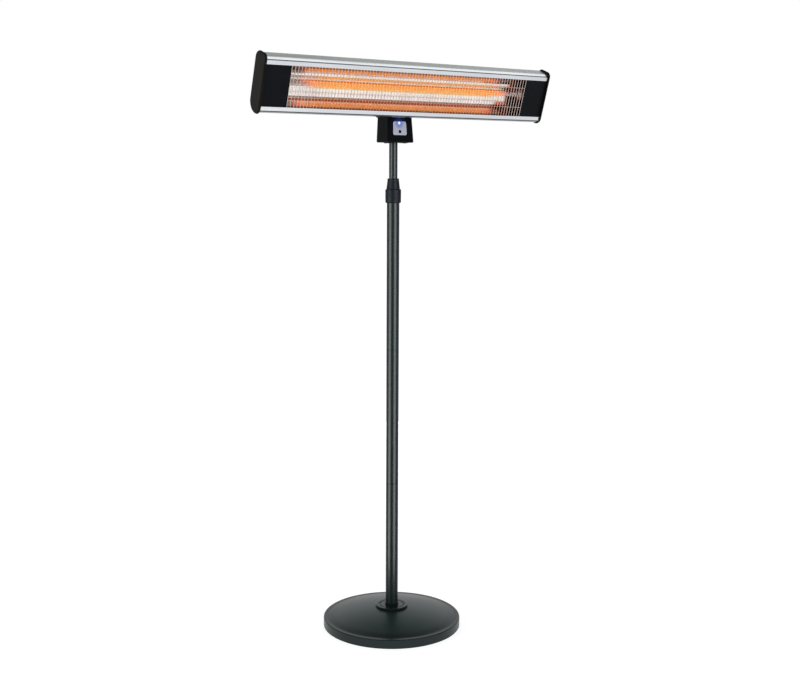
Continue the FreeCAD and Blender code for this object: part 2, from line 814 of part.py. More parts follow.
def panel_parts():
    """The control panel with its lamp, and the board behind it with what it carries."""
    foot = s.panel_width / 2
    top = s.panel_top_width / 2
    corner = s.panel_corner_radius
    taper = (foot - top) / s.panel_height
    rise = s.panel_height
    panel = extruded("control_panel", [
        (corner - foot, 0),
        (foot - corner, 0, corner, LEFT),
        (foot - taper * corner, corner),
        (top + taper * corner, rise - corner, corner, LEFT),
        (top - corner, rise),
        (corner - top, rise, corner, LEFT),
        (-top - taper * corner, rise - corner),
        (taper * corner - foot, corner, corner, LEFT),
    ], s.panel_thickness, "XZ_Plane", "One side")
    hole(panel, "y", button_hole, -s.panel_thickness, 0, z=s.button_height)
    hole(panel, "y", led_hole, -s.panel_thickness, 0, x=s.led_offset, z=s.led_height)
    on_front(panel)
    led = sub_part("PartDesign::Body", "status_led")
    rod(led, "y", s.led_diameter / 2, -s.panel_thickness, s.board_depth, x=s.led_offset, z=s.led_height)
    dome = led.newObject("PartDesign::AdditiveSphere", "status_led_dome")
    bind(dome, Radius=s.led_diameter / 2, x=s.led_offset, y=-s.panel_thickness, z=s.led_height)
    on_front(led)
    board_back = s.board_depth + s.board_thickness
    half = s.board_width / 2
    board = sub_part("PartDesign::Body", "control_board")
    block(board, (-half, half), (s.board_depth, board_back), (-s.board_drop, s.board_height - s.board_drop))
    on_front(board)
    tact = sub_part("PartDesign::Body", "tact_switch")
    reach = s.tact_width / 2
    block(tact, (-reach, reach), (tact_front, s.board_depth),
          (s.button_height - reach, s.button_height + reach))
    on_front(tact)
    receiver = sub_part("PartDesign::Body", "infrared_receiver")
    block(receiver, (half / 3, half / 3 + s.receiver_width),
          (s.board_depth - s.receiver_thickness, s.board_depth),
          (s.led_height - s.receiver_height, s.led_height))
    on_front(receiver)
    relay = sub_part("PartDesign::Body", "power_relay")
    block(relay, (half - s.relay_width, half), (board_back, board_back + s.relay_thickness),
          (s.button_height, s.button_height + s.relay_height))
    on_front(relay)


def mode_button():
    """The push button: a cap through the panel and a flange that keeps it behind the wall."""
    body = sub_part("PartDesign::Body", "mode_button")
    cap = rod(body, "y", s.button_diameter / 2, -s.panel_thickness - s.button_proud, button_back,
              z=s.button_height)
    rounded(body, cap, s.button_proud / 2, lambda edge: middle_of(edge).y < -s.panel_thickness.number)
    flange_front = s.box_wall + s.seat_gap
    rod(body, "y", s.button_diameter / 2 + s.button_flange, flange_front, button_back, z=s.button_height)
    on_front(body)


def cable_gland():
    """The bush where a mains lead enters the box's floor."""
    bore = s.gland_bore / 2
    flange = s.gland_flange_diameter / 2
    neck = s.gland_neck_diameter / 2
    edge = s.gland_proud / 3
    body = turned("cable_gland", [
        (bore, box_foot - s.gland_proud),
        (flange - edge, box_foot - s.gland_proud),
        (flange, box_foot - s.gland_proud + edge),
        (flange, box_foot),
        (neck, box_foot),
        (neck, box_floor),
        (flange, box_floor),
        (flange, box_floor + s.gland_nut_height),
        (bore, box_floor + s.gland_nut_height),
    ])
    bind(body, x=-s.gland_place, y=-s.gland_forward)


def switch_parts():
    """The mains switch under the box: its frame, and the rocker, which rests on one side."""
    frame = sub_part("PartDesign::Body", "switch_frame")
    wide = switch_half_width
    long = switch_half_length
    lip = s.switch_lip
    block(frame, (-wide - lip, wide + lip), (-long - lip, long + lip), (-s.switch_lip_thickness, 0))
    block(frame, (-wide, wide), (-long, long), (0, s.switch_depth))
    wall = s.switch_wall
    block(frame, (wall - wide, wide - wall), (wall - long, long - wall),
          (-s.switch_lip_thickness, s.switch_depth - wall * 2), kind="Subtractive")
    pin = s.rocker_pin_diameter / 2
    hole(frame, "x", pin + s.running_gap, -wide, wide, z=rocker_pivot)
    bind(frame, x=s.switch_across, y=-s.switch_forward, z=box_foot)
    rocker = sub_part("PartDesign::Body", "power_switch")
    half = s.rocker_width / 2
    reach = s.rocker_length / 2
    below = -s.rocker_proud - rocker_pivot
    slab = block(rocker, (-half, half), (-reach, reach), (below, below + s.rocker_height))
    rounded(rocker, slab, s.rocker_proud / 3, lambda edge: middle_of(edge).z < below.number / 2)
    pin_end = half + s.rocker_clearance + wall / 2
    rod(rocker, "x", pin, -pin_end, pin_end)
    rocker.Placement = FreeCAD.Placement(Vector(), Rotation(Vector(1, 0, 0), s.rocker_angle.number))
    rocker.setExpression("Placement.Rotation.Angle", s.rocker_angle.formula)
    bind(rocker, x=s.switch_across, y=-s.switch_forward, z=box_foot + rocker_pivot)


def tip_over_switch():
    """The safety switch that opens when the heater falls."""
    body = sub_part("PartDesign::Body", "tip_over_switch")
    behind = switch_half_length - s.switch_forward + s.bolt_gap
    block(body, (s.tip_switch_across, s.tip_switch_across + s.tip_switch_width),
          (behind, behind + s.tip_switch_length), (box_floor, box_floor + s.tip_switch_height))


def yoke_screw_places():
    """Where the four screws hold the yoke on the lid, as (x, y)."""
    across = s.yoke_screw_across / 2
    front = s.screw_head_diameter - s.pivot_forward - s.yoke_ear_radius
    back = s.yoke_back - s.screw_head_diameter
    return [(across * side, y) for side in SIDES for y in (front, back)]


def yoke_parts():
    """The upright yoke on the lid with its bolt, nut, washers and screws."""
    ear = s.yoke_ear_radius
    width = s.yoke_width
    thick = s.yoke_thickness
    forward = s.pivot_forward
    body = extruded("tilt_yoke", [
        (-forward - ear, lid_top),
        (ear - forward, lid_top),
        (ear - forward, pivot_z, ear, LEFT),
        (-forward, pivot_z + ear, ear, LEFT),
        (-forward - ear, pivot_z),
    ], width)
    inside = width / 2 - thick
    block(body, (-inside, inside), (-forward - ear * 2, ear * 2), (lid_top + thick, pivot_z + ear * 2),
          kind="Subtractive")
    block(body, (-width / 2, width / 2), (-forward - ear, s.yoke_back), (lid_top, lid_top + thick))
    hole(body, "x", tilt_radius + s.fit_gap, -width, width, y=-forward, z=pivot_z)
    for x, y in yoke_screw_places():
        hole(body, "z", s.screw_diameter / 2 + s.fit_gap, lid_top, lid_top + thick, x=x, y=y)
    screws = []
    for number, (x, y) in enumerate(yoke_screw_places(), start=1):
        place = {"x": x, "y": y, "z": lid_top + thick}
        screws.append(headed("Cylinder", f"yoke_screw_{number}", "z", place, s.screw_diameter,
                             s.yoke_screw_length, s.screw_head_diameter, s.screw_head_height))
    grouped("yoke_screws", screws)
    hex_radius = s.tilt_bolt_across / 2 / math.cos(math.pi / HEX)
    bolt = sub_part("PartDesign::Body", "tilt_bolt")
    head = bolt.newObject("PartDesign::AdditivePrism", "tilt_bolt_head_block")
    head.Placement = FreeCAD.Placement(Vector(), ALONG["x"])
    head.Polygon = HEX
    bind(head, Circumradius=hex_radius, Height=s.tilt_bolt_head, x=-width / 2 - s.tilt_bolt_head, y=-forward,
         z=pivot_z)
    bolt_end = width / 2 + s.tilt_nut_height + s.tilt_bolt_end
    rod(bolt, "x", tilt_radius, -width / 2, bolt_end, y=-forward, z=pivot_z)
    nut = sub_part("PartDesign::Body", "tilt_nut")
    hexagon = nut.newObject("PartDesign::AdditivePrism", "tilt_nut_block")
    hexagon.Placement = FreeCAD.Placement(Vector(), ALONG["x"])
    hexagon.Polygon = HEX
    bind(hexagon, Circumradius=hex_radius, Height=s.tilt_nut_height, x=width / 2, y=-forward, z=pivot_z)
    hole(nut, "x", tilt_radius + s.fit_gap, 0, width, y=-forward, z=pivot_z)
    washers = []
    for side, name in zip(SIDES, ("left", "right")):
        centre = (inside - s.fit_gap - s.washer_thickness / 2) * side
        disc = primitive("Cylinder", f"tilt_washer_{name}_disc", "x", Radius=s.washer_diameter / 2,
                         Height=s.washer_thickness, x=centre - s.washer_thickness / 2, y=-forward, z=pivot_z)
        bore = primitive("Cylinder", f"tilt_washer_{name}_bore", "x", Radius=tilt_radius + s.fit_gap,
                         Height=s.washer_thickness * 3, x=centre - s.washer_thickness * 3 / 2, y=-forward,
                         z=pivot_z)
        ring = doc.addObject("Part::Cut", f"tilt_washer_{name}")
        ring.Base = disc
        ring.Tool = bore
        washers.append(ring)
    grouped("tilt_washers", washers)


def bracket_screw_places():
    """Where the four screws hold the bracket on the back panel, as (x, z) in the head's frame."""
    across = s.bracket_screw_across / 2
    heights = (s.bracket_bottom + s.bracket_screw_edge, s.bracket_top - s.bracket_screw_edge)
    return [(across * side, z) for side in SIDES for z in heights]


def bracket_parts():
    """The bracket on the head's back whose two ears turn on the tilt bolt, and its screws."""
    web = panel_back + s.bracket_thickness
    eye = s.bracket_eye_radius
    ahead = s.head_reach - s.pivot_forward
    below = head_z - pivot_z
    eye_y = ahead * cosine(s.head_tilt) - below * sine(s.head_tilt)
    eye_z = -ahead * sine(s.head_tilt) - below * cosine(s.head_tilt)
    lean_y = eye * math.cos(math.radians(30))
    lean_z = eye * math.sin(math.radians(30))
    width = s.yoke_width - (s.yoke_thickness + s.washer_thickness + s.fit_gap * 2) * 2
    body = extruded("head_bracket", [
        (panel_back, s.bracket_top),
        (panel_back, s.bracket_bottom),
        (eye_y - lean_y, eye_z - lean_z),
        (eye_y + lean_y, eye_z + lean_z),
        (web + s.bracket_heel, s.bracket_top),
    ], width)
    rod(body, "x", eye, -width / 2, width / 2, y=eye_y, z=eye_z)
    inside = width / 2 - s.bracket_thickness
    block(body, (-inside, inside), (web, eye_y + eye * 2), (eye_z - eye * 2, s.bracket_top * 2),
          kind="Subtractive")
    hole(body, "x", tilt_radius + s.running_gap, -width, width, y=eye_y, z=eye_z)
    screw_hole = s.screw_diameter / 2 + s.fit_gap
    for x, z in bracket_screw_places():
        hole(body, "y", screw_hole, panel_back, web, x=x, z=z)
    on_head(body)
    screws = []
    for number, (x, z) in enumerate(bracket_screw_places(), start=1):
        place = {"x": x, "y": web, "z": z}
        screws.append(headed("Cylinder", f"bracket_screw_{number}", "y", place, s.screw_diameter,
                             s.bracket_screw_length, s.screw_head_diameter, s.screw_head_height))
    on_head(grouped("bracket_screws", screws))


def rail(label, side, back_corners, inner_corners):
    """One of the two aluminium rails: a front lip with a slot behind it, a shoulder and a leg at the back."""
    lip = s.opening_height / 2
    face = lip + s.rail_face
    rib = s.rail_face_wall + s.rail_slot
    rib_back = rib + s.rail_rib
    slot_top = lip + s.rail_slot_depth
    bend = RIGHT if side > 0 else LEFT
    section = [
        (0, lip),
        (0, face - s.rail_notch),
        (s.rail_notch_depth, face),
        (s.rail_notch_depth / 3, face + s.rail_notch, s.shoulder_radius, bend),
        *back_corners(bend),
        *inner_corners(-bend),
        (s.shoulder_depth + s.rail_wall / 5, shoulder_height - s.rail_wall),
        (rib_back, face + s.rail_notch / 2),
        (rib_back, lip + s.rail_rib_inset),
        (rib, lip + s.rail_rib_inset),
        (rib, slot_top),
        (s.rail_face_wall, slot_top),
        (s.rail_face_wall, lip),
    ]
    corners = [(corner[0], as_size(corner[1]) * side, *corner[2:]) for corner in section]
    body = extruded(label, corners, s.head_length)
    for step in PANEL_SCREW_STEPS:
        hole(body, "y", s.panel_screw_diameter / 2 + s.fit_gap, s.head_depth - s.rail_wall, s.head_depth,
             x=panel_screw_pitch * step, z=panel_screw_heights[side])
    on_head(body)


def upper_back(bend):
    """The upper rail's outside from its shoulder round to the foot of its back leg."""
    radius = s.upper_corner_radius
    crown = shoulder_height + s.crown_rise
    return [
        (s.shoulder_depth, shoulder_height),
        (s.head_depth - radius, crown, radius, bend),
        (s.head_depth, crown - radius),
        (s.head_depth, crown - radius - s.rail_leg),
    ]


def upper_inside(bend):
    radius = s.upper_corner_radius
    crown = shoulder_height + s.crown_rise
    return [
        (s.head_depth - s.rail_wall, crown - radius - s.rail_leg),
        (s.head_depth - s.rail_wall, crown - radius, radius - s.rail_wall, bend),
        (s.head_depth - radius, crown - s.rail_wall),
    ]


def lower_back(bend):
    """The lower rail's outside: one large bend from its shoulder to its back leg, with heights as depths."""
    return [
        (s.shoulder_depth, shoulder_height, s.lower_corner_radius, bend),
        (s.head_depth, s.lower_corner_height),
        (s.head_depth, s.lower_corner_height - s.rail_leg),
    ]


def lower_inside(bend):
    return [
        (s.head_depth - s.rail_wall, s.lower_corner_height - s.rail_leg),
        (s.head_depth - s.rail_wall, s.lower_corner_height, s.lower_corner_radius - s.rail_wall, bend),
    ]


def shell_parts():
    """The head's rails, back panel and end caps."""
    rail("upper_rail", 1, upper_back, upper_inside)
    rail("lower_rail", -1, lower_back, lower_inside)
    panel = sub_part("PartDesign::Body", "back_panel")
    block(panel, (-s.head_length / 2, s.head_length / 2), (s.head_depth, panel_back),
          (s.back_panel_margin - s.lower_corner_height, upper_leg_top - s.back_panel_margin))
    screws = []
    for side, name in zip(SIDES, ("lower", "upper")):
        for step in PANEL_SCREW_STEPS:
            x = panel_screw_pitch * step
            z = panel_screw_heights[side]
            hole(panel, "y", s.panel_screw_diameter / 2 + s.fit_gap, s.head_depth, panel_back, x=x, z=z)
            place = {"x": x, "y": panel_back, "z": z}
            screws.append(headed("Cylinder", f"panel_screw_{name}_{step + 3}", "y", place,
                                 s.panel_screw_diameter, s.panel_screw_length, s.panel_screw_head,
                                 s.panel_screw_head_height))
    for x, z in bracket_screw_places():
        hole(panel, "y", s.screw_diameter / 2 + s.fit_gap, s.head_depth, panel_back, x=x, z=z)
    on_head(panel)
    on_head(grouped("panel_screws", screws))
    for side, name in zip(SIDES, ("left", "right")):
        end_cap(f"end_cap_{name}", side)


def end_cap(label, side):
    """A moulded cap that stands a little proud of the profile, with a spigot that plugs into it."""
    front = -s.cap_front_proud
    back = panel_back + s.cap_back_proud
    top = shoulder_height + s.crown_rise + s.cap_top_proud
    bottom = -shoulder_height - s.cap_foot_proud
    nose = s.cap_front_radius
    chin = s.cap_foot_radius
    upper = s.cap_upper_radius
    lower = s.cap_lower_radius
    body = extruded(label, [
        (front, top - s.cap_slope - nose, nose, RIGHT),
        (front + nose, top - s.cap_slope),
        (back - upper, top, upper, RIGHT),
        (back, top - upper),
        (back, bottom + lower, lower, RIGHT),
        (back - lower, bottom),
        (front + chin, bottom, chin, RIGHT),
        (front, bottom + chin),
    ], s.cap_thickness)
    doc.recompute()
    outer = s.cap_thickness.number / 2 * side
    rounded(body, body.Tip, s.cap_edge_radius, lambda edge: abs(middle_of(edge).x - outer) < s.fit_gap.number)
    inner = s.cap_thickness / 2
    reach = inner + s.cap_spigot_length
    span = (inner * 0, reach) if side < 0 else (-reach, inner * 0)
    rear = s.head_depth - s.rail_wall - s.seat_gap
    spigot = s.cap_spigot_height / 2
    block(body, span, (rear - s.cap_spigot_depth, rear), (-spigot, spigot))
    on_head(body, (s.head_length + s.cap_thickness) / 2 * side)


def face_parts():
    """The two flat end plates and the guard between them, all held in the rails' slots."""
    slot = s.opening_height / 2 + s.rail_slot_depth - s.seat_gap
    depth = (s.rail_face_wall + s.fit_gap, s.rail_face_wall + s.fit_gap + s.guard_thickness)
    inner = grille_half
    outer = s.head_length / 2
    for side, name in zip(SIDES, ("left", "right")):
        plate = sub_part("PartDesign::Body", f"end_plate_{name}")
        across = (inner, outer) if side > 0 else (-outer, -inner)
        block(plate, across, depth, (-slot, slot))
        on_head(plate)
    guard = sub_part("Part::Feature", "guard_grille")
    guard.Shape = guard_shape(inner - s.seat_gap, slot, depth)
    on_head(guard)


def guard_shape(half_length, half_height, depth):
    """A flat guard: upright wires across the opening, with two bars along it, in a plain border."""
    near = depth[0].number
    wire = s.guard_wire.number
    left = s.guard_border.number - half_length.number
    top = s.opening_height.number / 2 - s.guard_border.number
    bar = s.guard_bar_height.number
    rows = [(-top, -bar - wire / 2), (wire / 2 - bar, bar - wire / 2), (bar + wire / 2, top)]
    pitch = (wire - left * 2) / GUARD_COLUMNS
    across = half_length.number
    upright = half_height.number
    wires = [rectangle(-across, -upright, across, upright, near)]
    for column in range(GUARD_COLUMNS):
        x = left + pitch * column
        for low, high in rows:
            wires.append(rectangle(x, low, x + pitch - wire, high, near))
    face = Part.makeFace(wires, "Part::FaceMakerCheese")
    return face.extrude(Vector(0, s.guard_thickness.number, 0))


def rectangle(left, low, right, high, depth):
    """A rectangle parallel to the head's face, as a closed wire."""
    corners = [(left, low), (right, low), (right, high), (left, high), (left, low)]
    return Part.makePolygon([Vector(x, depth, z) for x, z in corners])


def reflector():
    """A folded sheet that throws the lamp's heat forward. Its facets run along the head."""
    lip_face = s.rail_face_wall + s.rail_slot + s.rail_rib + s.fit_gap
    edge = s.opening_height / 2 + s.rail_rib_inset
    fold = [
        (lip_face, edge + s.reflector_lip),
        (lip_face, edge),
        (s.reflector_top_depth, s.opening_height / 2),
        (s.reflector_upper_depth, s.reflector_upper_height + s.reflector_step / 2),
        (s.reflector_upper_depth, s.reflector_upper_height - s.reflector_step / 2),
        (s.reflector_depth, s.reflector_back_top),
        (s.reflector_depth, s.reflector_back_bottom),
        (lip_face, -edge),
        (lip_face, -edge - s.reflector_lip),
    ]
    points = [Vector(0, y.number, z.number) for y, z in fold]
    sheet = thick_strip(points, s.reflector_thickness.number)
    half = (grille_half - s.reflector_inset).number
    sheet.translate(Vector(-half, 0, 0))
    body = sub_part("Part::Feature", "reflector")
    body.Shape = sheet.extrude(Vector(half * 2, 0, 0))
    on_head(body)


def thick_strip(points, thickness):
    """A face between a folded line and its parallel, which lies to its right as it runs."""
    shifted = []
    for index, point in enumerate(points):
        normals = []
        for first, last in ((index - 1, index), (index, index + 1)):
            if first >= 0 and last < len(points):
                run = points[last] - points[first]
                normals.append(Vector(0, -run.z, run.y).normalize())
        mean = normals[0] + normals[-1]
        shifted.append(point + mean * (thickness / mean.dot(normals[0])))
    return Part.Face(Part.makePolygon(points + shifted[::-1] + points[:1]))


def lamp_parts():
    """The quartz lamp along the head, its ceramic caps and the holders beyond the reflector's ends."""
    half = grille_half - s.lamp_inset
    centre = {"y": s.lamp_depth, "z": s.lamp_height}
    tube = sub_part("PartDesign::Body", "quartz_tube")
    quartz = s.quartz_diameter / 2
    rod(tube, "x", quartz, -half, half, **centre)
    hole(tube, "x", quartz - s.quartz_wall, -half, half, **centre)
    on_head(tube)
    element = sub_part("PartDesign::Body", "heating_element")
    rod(element, "x", s.element_diameter / 2, -half, half, **centre)
    on_head(element)
    cap_radius = s.lamp_cap_diameter / 2
    for side, name in zip(SIDES, ("left", "right")):
        cap = sub_part("PartDesign::Body", f"lamp_cap_{name}")
        span = sorted((half * side, (half + s.lamp_cap_length) * side), key=lambda size: size.number)
        rod(cap, "x", cap_radius, span[0], span[1], **centre)
        on_head(cap)
        lamp_holder(f"lamp_holder_{name}", side, half + s.holder_place, cap_radius + s.fit_gap)


def lamp_holder(label, side, place, bore):
    """A bent steel holder: a ring plate round the lamp's cap, a neck and a foot on the back panel."""
    body = sub_part("PartDesign::Body", label)
    ring = bore + s.holder_rim
    back = s.head_depth - s.fit_gap
    span = ordered(place * side, (place + s.holder_thickness) * side)
    foot = ordered(place * side, (place + s.holder_foot_length) * side)
    neck = (s.lamp_height - s.holder_neck / 2, s.lamp_height + s.holder_neck / 2)
    rod(body, "x", ring, span[0], span[1], y=s.lamp_depth, z=s.lamp_height)
    block(body, span, (s.lamp_depth, back), neck)
    block(body, foot, (back - s.holder_thickness, back), neck)
    hole(body, "x", bore, span[0], span[1], y=s.lamp_depth, z=s.lamp_height)
    on_head(body)


def ordered(first, second):
    """Two sizes with the lower one first."""
    return (first, second) if first.number < second.number else (second, first)


def wiring_parts():
    """The thermal cut-out on the reflector's back and the terminal block inside the upper rail."""
    cutout = sub_part("PartDesign::Body", "thermal_cutout")
    front = s.reflector_depth + s.reflector_thickness + s.fit_gap
    middle = (s.reflector_back_top + s.reflector_back_bottom) / 2
    rod(cutout, "y", s.cutout_diameter / 2, front, front + s.cutout_thickness, x=s.cutout_across, z=middle)
    on_head(cutout)
    block_back = s.head_depth - s.rail_wall - s.fit_gap
    terminal = sub_part("PartDesign::Body", "terminal_block")
    half = s.terminal_width / 2
    block(terminal, (-half, half), (block_back - s.terminal_depth, block_back),
          (upper_leg_top - s.terminal_height, upper_leg_top))
    on_head(terminal)


def check_model():
    """Stops on an object that failed, a sub-part that isn't a sound solid or a cut that took nothing."""
    for thing in doc.Objects:
        if {"Invalid", "Error"} & set(thing.State):
            raise RuntimeError(f"{thing.Label} failed: {thing.State}")
        if "::Subtractive" in thing.TypeId and thing.Shape.Volume >= thing.BaseFeature.Shape.Volume:
            raise RuntimeError(f"{thing.Label} cut nothing")
    for thing in sub_parts:
        if thing.Shape.isNull() or not thing.Shape.isValid() or not thing.Shape.Solids:
            raise RuntimeError(f"{thing.Label} is not a sound solid")


doc = FreeCAD.newDocument("patio_heater")
sub_parts = []
s = make_sheet()

# Places that several sub-parts share, from the floor up
base_radius = s.base_diameter / 2
plate_top = s.pad_thickness + s.base_plate_thickness
recess_top = plate_top + s.bolt_recess_depth
pole_radius = s.pole_diameter / 2
pole_bore = pole_radius - s.pole_wall
lower_seam = s.base_height + s.lower_section
upper_seam = lower_seam + s.middle_section
pole_top = upper_seam + s.upper_section
collar_foot = pole_top - s.collar_overlap
collar_top = collar_foot + s.collar_height
nut_top = collar_top + s.seat_gap + s.nut_height
mast_radius = s.mast_diameter / 2
mast_foot = pole_top - s.mast_overlap
box_foot = nut_top + s.mast_show
mast_top = box_foot + s.mast_insert

# Places in the control box
box_floor = box_foot + s.box_wall
box_top = box_foot + s.box_height
box_top_front = s.box_front - s.box_height * tangent(s.box_front_lean)
lid_top = box_top + s.lid_height
panel_front = s.box_front - s.panel_rise * tangent(s.box_front_lean)
panel_z = box_foot + s.panel_rise
button_hole = s.button_diameter / 2 + s.button_clearance
led_hole = s.led_diameter / 2 + s.fit_gap
button_back = s.box_wall + s.seat_gap + s.button_flange / 2
tact_front = button_back + s.button_travel + s.seat_gap
switch_half_width = s.rocker_width / 2 + s.rocker_clearance + s.switch_wall
switch_half_length = s.rocker_length / 2 + s.rocker_clearance + s.switch_wall
rocker_pivot = s.rocker_height / 2 - s.rocker_proud

# Places on the head
pivot_z = lid_top + s.pivot_rise
tilt_radius = s.tilt_bolt_diameter / 2
head_z = box_foot + s.head_rise
panel_back = s.head_depth + s.back_panel_thickness
grille_half = s.head_length / 2 - s.end_plate_length
panel_screw_pitch = (s.head_length / 2 - s.panel_screw_inset) / 2
shoulder_height = s.opening_height / 2 + s.rail_face + s.shoulder_rise
upper_leg_top = shoulder_height + s.crown_rise - s.upper_corner_radius
panel_screw_heights = {-1: s.back_panel_margin + s.panel_screw_edge - s.lower_corner_height,
                       1: upper_leg_top - s.back_panel_margin - s.panel_screw_edge}

base_parts()
pole_parts()
clamp_parts()
mast_parts()
control_housing()
control_lid()
socket_parts()
panel_parts()
mode_button()
cable_gland()
switch_parts()
tip_over_switch()
yoke_parts()
bracket_parts()
shell_parts()
face_parts()
reflector()
lamp_parts()
wiring_parts()
doc.recompute()
check_model()

os.makedirs("parts", exist_ok=True)
for thing in sub_parts:
    thing.Shape.exportStep(f"parts/{thing.Label}.step")
print(f"{len(sub_parts)} sub-parts")
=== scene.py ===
import math

import bmesh
import bpy
from mathutils import Euler, Matrix, Vector


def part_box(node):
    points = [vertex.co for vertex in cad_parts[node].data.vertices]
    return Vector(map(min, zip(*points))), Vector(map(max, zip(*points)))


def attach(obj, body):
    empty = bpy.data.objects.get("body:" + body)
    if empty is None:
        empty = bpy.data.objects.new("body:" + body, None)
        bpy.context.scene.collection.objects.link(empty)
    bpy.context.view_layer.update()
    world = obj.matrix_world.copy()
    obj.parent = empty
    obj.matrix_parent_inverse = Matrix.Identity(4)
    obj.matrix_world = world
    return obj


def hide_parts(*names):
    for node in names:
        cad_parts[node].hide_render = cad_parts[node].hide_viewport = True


# The looks of a free-standing infrared heater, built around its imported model.
# Metres, X along the head, front towards -Y, +Z up.

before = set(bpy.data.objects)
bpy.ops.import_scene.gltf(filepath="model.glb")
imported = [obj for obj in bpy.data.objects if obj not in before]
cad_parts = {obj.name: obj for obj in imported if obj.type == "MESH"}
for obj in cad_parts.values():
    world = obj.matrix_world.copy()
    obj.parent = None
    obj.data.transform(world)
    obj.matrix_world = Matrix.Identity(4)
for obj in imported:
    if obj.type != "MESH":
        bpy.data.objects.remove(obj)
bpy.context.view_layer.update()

# The photograph's camera, in pixels, the sensor's millimetres, metres and degrees
IMAGE_WIDTH = 800
SENSOR_WIDTH = 36
FOCAL_PIXELS = 1224.25
CAMERA_PLACE = (-1.87762, -2.59903, 1.23140)
CAMERA_YAW = -36.194
CAMERA_PITCH = 8.174
CAMERA_ROLL = 0.263
LEVEL_VIEW = 90

# The head's own frame: y back from its face, z up from the face's middle
HEAD_PLACE = Vector((0, -0.0912, 1.4185))
HEAD_TILT = math.radians(16.7)
HEAD = Matrix.Translation(HEAD_PLACE) @ Matrix.Rotation(HEAD_TILT, 4, "X")

# Edges of the new pieces stay sharp beyond this angle
SHARP_ANGLE = math.radians(40)

# Guard of round wires in the rails' slots, and the heights between which it is tinted gold and copper
GUARD_HALF = 0.3652
GUARD_REACH = 0.0569
GUARD_WIRES = 80
GUARD_FIRST = 0.3640
GUARD_DEPTH = 0.0031
GUARD_WIRE = 0.0008
GUARD_BORDER = 0.0009
GUARD_BAR_HEIGHT = 0.026
GUARD_BAR_DEPTH = 0.0044
WIRE_SIDES = 10
TINTED_MIDDLE = (-0.007, 0.029)
TINTED_FOOT = (-0.060, -0.0235)

# Lamp: its line in the head, the ends of its glow and how these fade, and the coil in it
LAMP_DEPTH = 0.020
LAMP_HEIGHT = 0.0049
LAMP_HALF = 0.358
GLOW_LEFT = -0.307
GLOW_RIGHT = 0.308
GLOW_OUTWARD = 0.006
GLOW_INWARD = 0.045
BAND_FADE = 0.003
COIL_RADIUS = 0.0032
COIL_WIRE = 0.0010
COIL_PITCH = 0.0042
COIL_STEPS = 14
COIL_SIDES = 8

# Base: the top of its upright edge, below which painted light makes it paler, and the gutter that holds a
# painted dark reflection, as shares of the radius inward from the rim
BASE_RADIUS = 0.185
EDGE_TOP = 0.0225
EDGE_FADE = 0.001
GUTTER = (0.03, 0.05, 0.13, 0.20)

# Rails, in the head's frame: painted shade on the underside of the lower one and painted shade in the
# notch of the upper one
UNDERSIDE_LOW = -0.0600
UNDERSIDE_HIGH = -0.0578
NOTCH_LOW = 0.0588
NOTCH_HIGH = 0.0613
NOTCH_FADE = 0.0003
NOTCH_FRONT = 0.0025
NOTCH_BACK = 0.0035

# Reflector: where painted red glow, grey and a straw tint lie along the head and up it, and the tone of
# its sheet at each height, with painted shade at its foot and top and a painted reflection of the lamp's
# red glow below the lamp
FOLD_REACH = 0.060
RED_GLOW_END = 0.325
RED_GLOW_FOOT = 0.292
FOOT_HEIGHT = -0.0205
GREY_TOP_END = -0.318
TOP_HEIGHT = 0.0255
TINT_FADE = 0.0015
TINT_RUN = 0.01
TOP_RUN = 0.018
STRAW_LOW = -0.0070
STRAW_HIGH = 0.0098
# Painted shade: the darkest stops at the foot and the top; painted reflection of the lamp's red glow: the
# red-brown stops below the lamp
SHEET_TONES_WITH_PAINTED_SHADE_AND_GLOW = (
    (-0.0540, (60, 42, 38)),
    (-0.0508, (110, 84, 78)),
    (-0.0488, (205, 172, 158)),
    (-0.0462, (250, 238, 230)),
    (-0.0380, (250, 244, 240)),
    (-0.0368, (196, 92, 46)),
    (-0.0335, (196, 92, 46)),
    (-0.0318, (236, 196, 180)),
    (-0.0285, (255, 252, 250)),
    (0.0395, (245, 238, 234)),
    (0.0415, (172, 142, 116)),
    (0.0480, (126, 92, 76)),
)

# Control panel: its lamp, and how far its light shows on the lens, as a painted glow round it, and as
# painted blue light on the panel and on the box
LED_PLACE = Vector((-0.0048, -0.0314, 1.3456))
LENS_REACH = 0.0026
GLOW_REACH = 0.008
PANEL_REACH = 0.019
BOX_REACH = 0.030
FRONT_NEAR = 0.004
FRONT_FAR = 0.008

# Control box: where its paler back starts and is full, from its rearmost point
PALER_START = 0.002
PALER_FULL = 0.001

# Nodes with a finish of their own
SATIN_NODES = ("back_panel", "head_bracket", "tilt_yoke")

# Floor: its size and grey, how white it shows near the base, and how far off it is fully white
FLOOR_REACH = 40
FLOOR_GREY = (0.3, 0.3, 0.3, 1)
FLOOR_GLOW = 0.85
FLOOR_NEAR = 0.4
FLOOR_FAR = 1.6

# World: its soft light, and what is seen of it, from white at one height to grey at another
SOFT_COLOUR = (0.96, 0.98, 1.0, 1)
SOFT_STRENGTH = 0.35
WHITE_HEIGHT = 0.30
GREY_HEIGHT = 0.62
HIGH_GREY = (0.33, 0.345, 0.31, 1)

# Soft boxes that light the heater, by degrees from the front
BOX_AZIMUTHS = {"left_box": -92, "right_box": 14, "rear_box": 150}
BOX_AWAY = 2.6
BOX_HEIGHT = 1.0
BOX_WIDTH = 0.7
BOX_LENGTH = 2.4
BOX_POWER = 26
BOX_AIM = 0.8

# Strips beside the stand, which only its gloss shows
STRIPS = {"left_strip": (-90, (0.91, 1.0, 0.95)), "right_strip": (6, (0.90, 0.95, 1.0))}
STRIP_AWAY = 0.40
STRIP_WIDTH = 0.28
STRIP_LOW = 0.02
STRIP_HIGH = 2.2
STRIP_POWER = 34
STRIP_NODES = ("pole_lower_tube", "pole_middle_tube", "pole_upper_tube", "collar_sleeve", "clamp_nut",
               "extension_tube")

